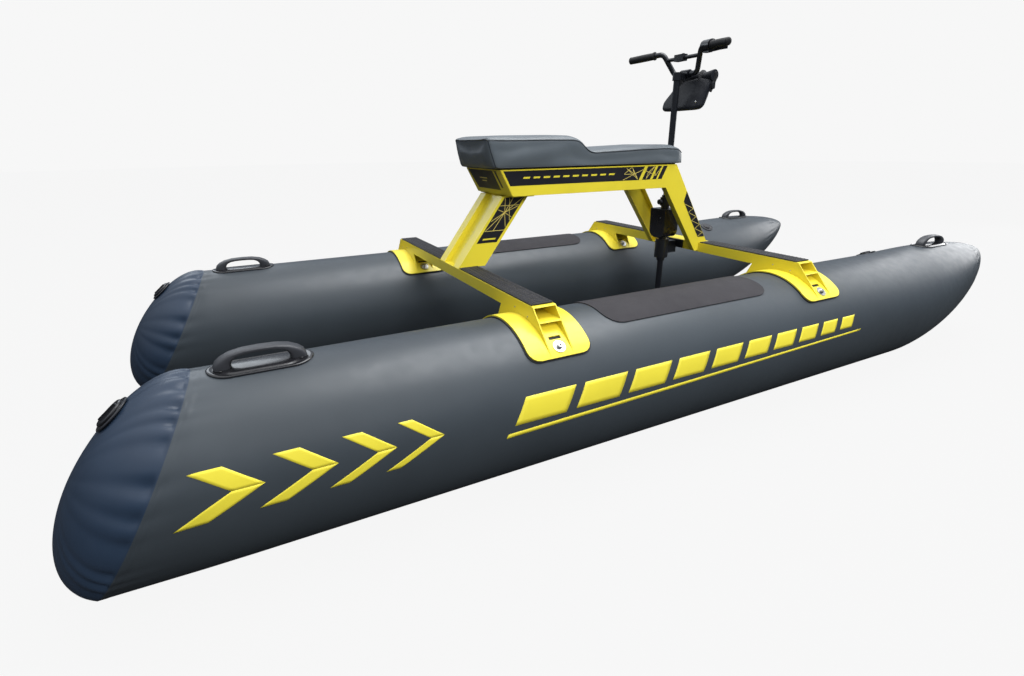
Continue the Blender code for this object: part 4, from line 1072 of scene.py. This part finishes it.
def studio_floor():
    """A wide disc that looks as pale as the backdrop and gives a faint shadow."""
    rim = [(FLOOR_R * math.cos(turn), FLOOR_R * math.sin(turn), FLOOR_Z) for turn in turns(96)]
    mesh = bpy.data.meshes.new("studio_floor")
    mesh.from_pydata(rim, [], [tuple(range(len(rim)))])
    floor = bpy.data.objects.new("studio_floor", mesh)
    bpy.context.scene.collection.objects.link(floor)
    paper = bpy.data.materials.new("pale_paper")
    paper.use_nodes = True
    new, link = paper.node_tree.nodes.new, paper.node_tree.links.new
    paper.node_tree.nodes.clear()
    glow, faint, dull = new("ShaderNodeEmission"), new("ShaderNodeBsdfDiffuse"), new("ShaderNodeBsdfDiffuse")
    for node, grey in ((glow, 0.908), (faint, 0.012), (dull, 0.03)):
        node.inputs["Color"].default_value = (grey, grey, grey, 1)
    total, mix = new("ShaderNodeAddShader"), new("ShaderNodeMixShader")
    link(glow.outputs[0], total.inputs[0])
    link(faint.outputs[0], total.inputs[1])
    link(new("ShaderNodeLightPath").outputs["Is Camera Ray"], mix.inputs[0])
    link(dull.outputs[0], mix.inputs[1])
    link(total.outputs[0], mix.inputs[2])
    link(mix.outputs[0], new("ShaderNodeOutputMaterial").inputs[0])
    mesh.materials.append(paper)


def lights():
    """Four soft discs. The key light isn't mirrored, so that the pontoons keep a matt flank."""
    for name, where, aim, size, power, colour, mirrored in (
            ("key", (5.4, -0.6, 3.6), (0, 0, 0.6), 3.0, 250, (1.0, 0.985, 0.96), False),
            ("top", (0.2, 1.0, 5.0), (0, 0.3, 0), 4.4, 235, (0.97, 0.985, 1.0), True),
            ("front", (0.1, 6.4, 2.0), (0.5, 1.4, 0.4), 3.0, 85, (1.0, 1.0, 1.0), True),
            ("back", (-4.6, -2.4, 3.0), (0, -0.3, 0.6), 2.4, 26, (0.88, 0.94, 1.0), True)):
        light = bpy.data.lights.new(name, "AREA")
        light.shape = "DISK"
        light.size = size
        light.energy = power
        light.color = colour
        lamp = bpy.data.objects.new(name, light)
        bpy.context.scene.collection.objects.link(lamp)
        lamp.location = where
        lamp.visible_glossy = mirrored
        lamp.rotation_euler = (Vector(aim) - Vector(where)).to_track_quat("-Z", "Y").to_euler()


def camera():
    """Where the photographer stood: to starboard of the stern, at seat height."""
    turn, dip, roll = math.radians(62.44), math.radians(20.56), math.radians(-0.50)
    ahead = Vector((-math.sin(turn) * math.cos(dip), math.cos(turn) * math.cos(dip), -math.sin(dip)))
    right = ahead.cross(Vector((0, 0, 1))).normalized()
    up = right.cross(ahead)
    right_rolled = right * math.cos(roll) + up * math.sin(roll)
    up_rolled = up * math.cos(roll) - right * math.sin(roll)
    matrix = Matrix((right_rolled, up_rolled, -ahead)).transposed().to_4x4()
    matrix.translation = Vector((1.926, -1.551, 0.981))
    data = bpy.data.cameras.new("camera")
    data.lens = 18.28
    data.sensor_width = 36
    data.clip_start = 0.05
    obj = bpy.data.objects.new("camera", data)
    bpy.context.scene.collection.objects.link(obj)
    obj.matrix_world = matrix
    bpy.context.scene.camera = obj


dress_frame()
for name, side in SIDES.items():
    pontoon(name, side)
    pontoon_graphics(name, side)
    frame_decals(name, side)
    for place in HANDLE_YS:
        carry_handle(name, place, side)
end_plate_decals()
for node in ("tread_front_port", "tread_front_starboard", "tread_rear_port", "tread_rear_starboard"):
    tread_ribs(node)
rivets()
grip("port", -1, 0.135)
grip("starboard", 1, 0.100)
bag()
small_parts()
seat_trim(cushion())
bpy.context.scene.view_settings.view_transform = "Standard"
backdrop()
studio_floor()
lights()
camera()
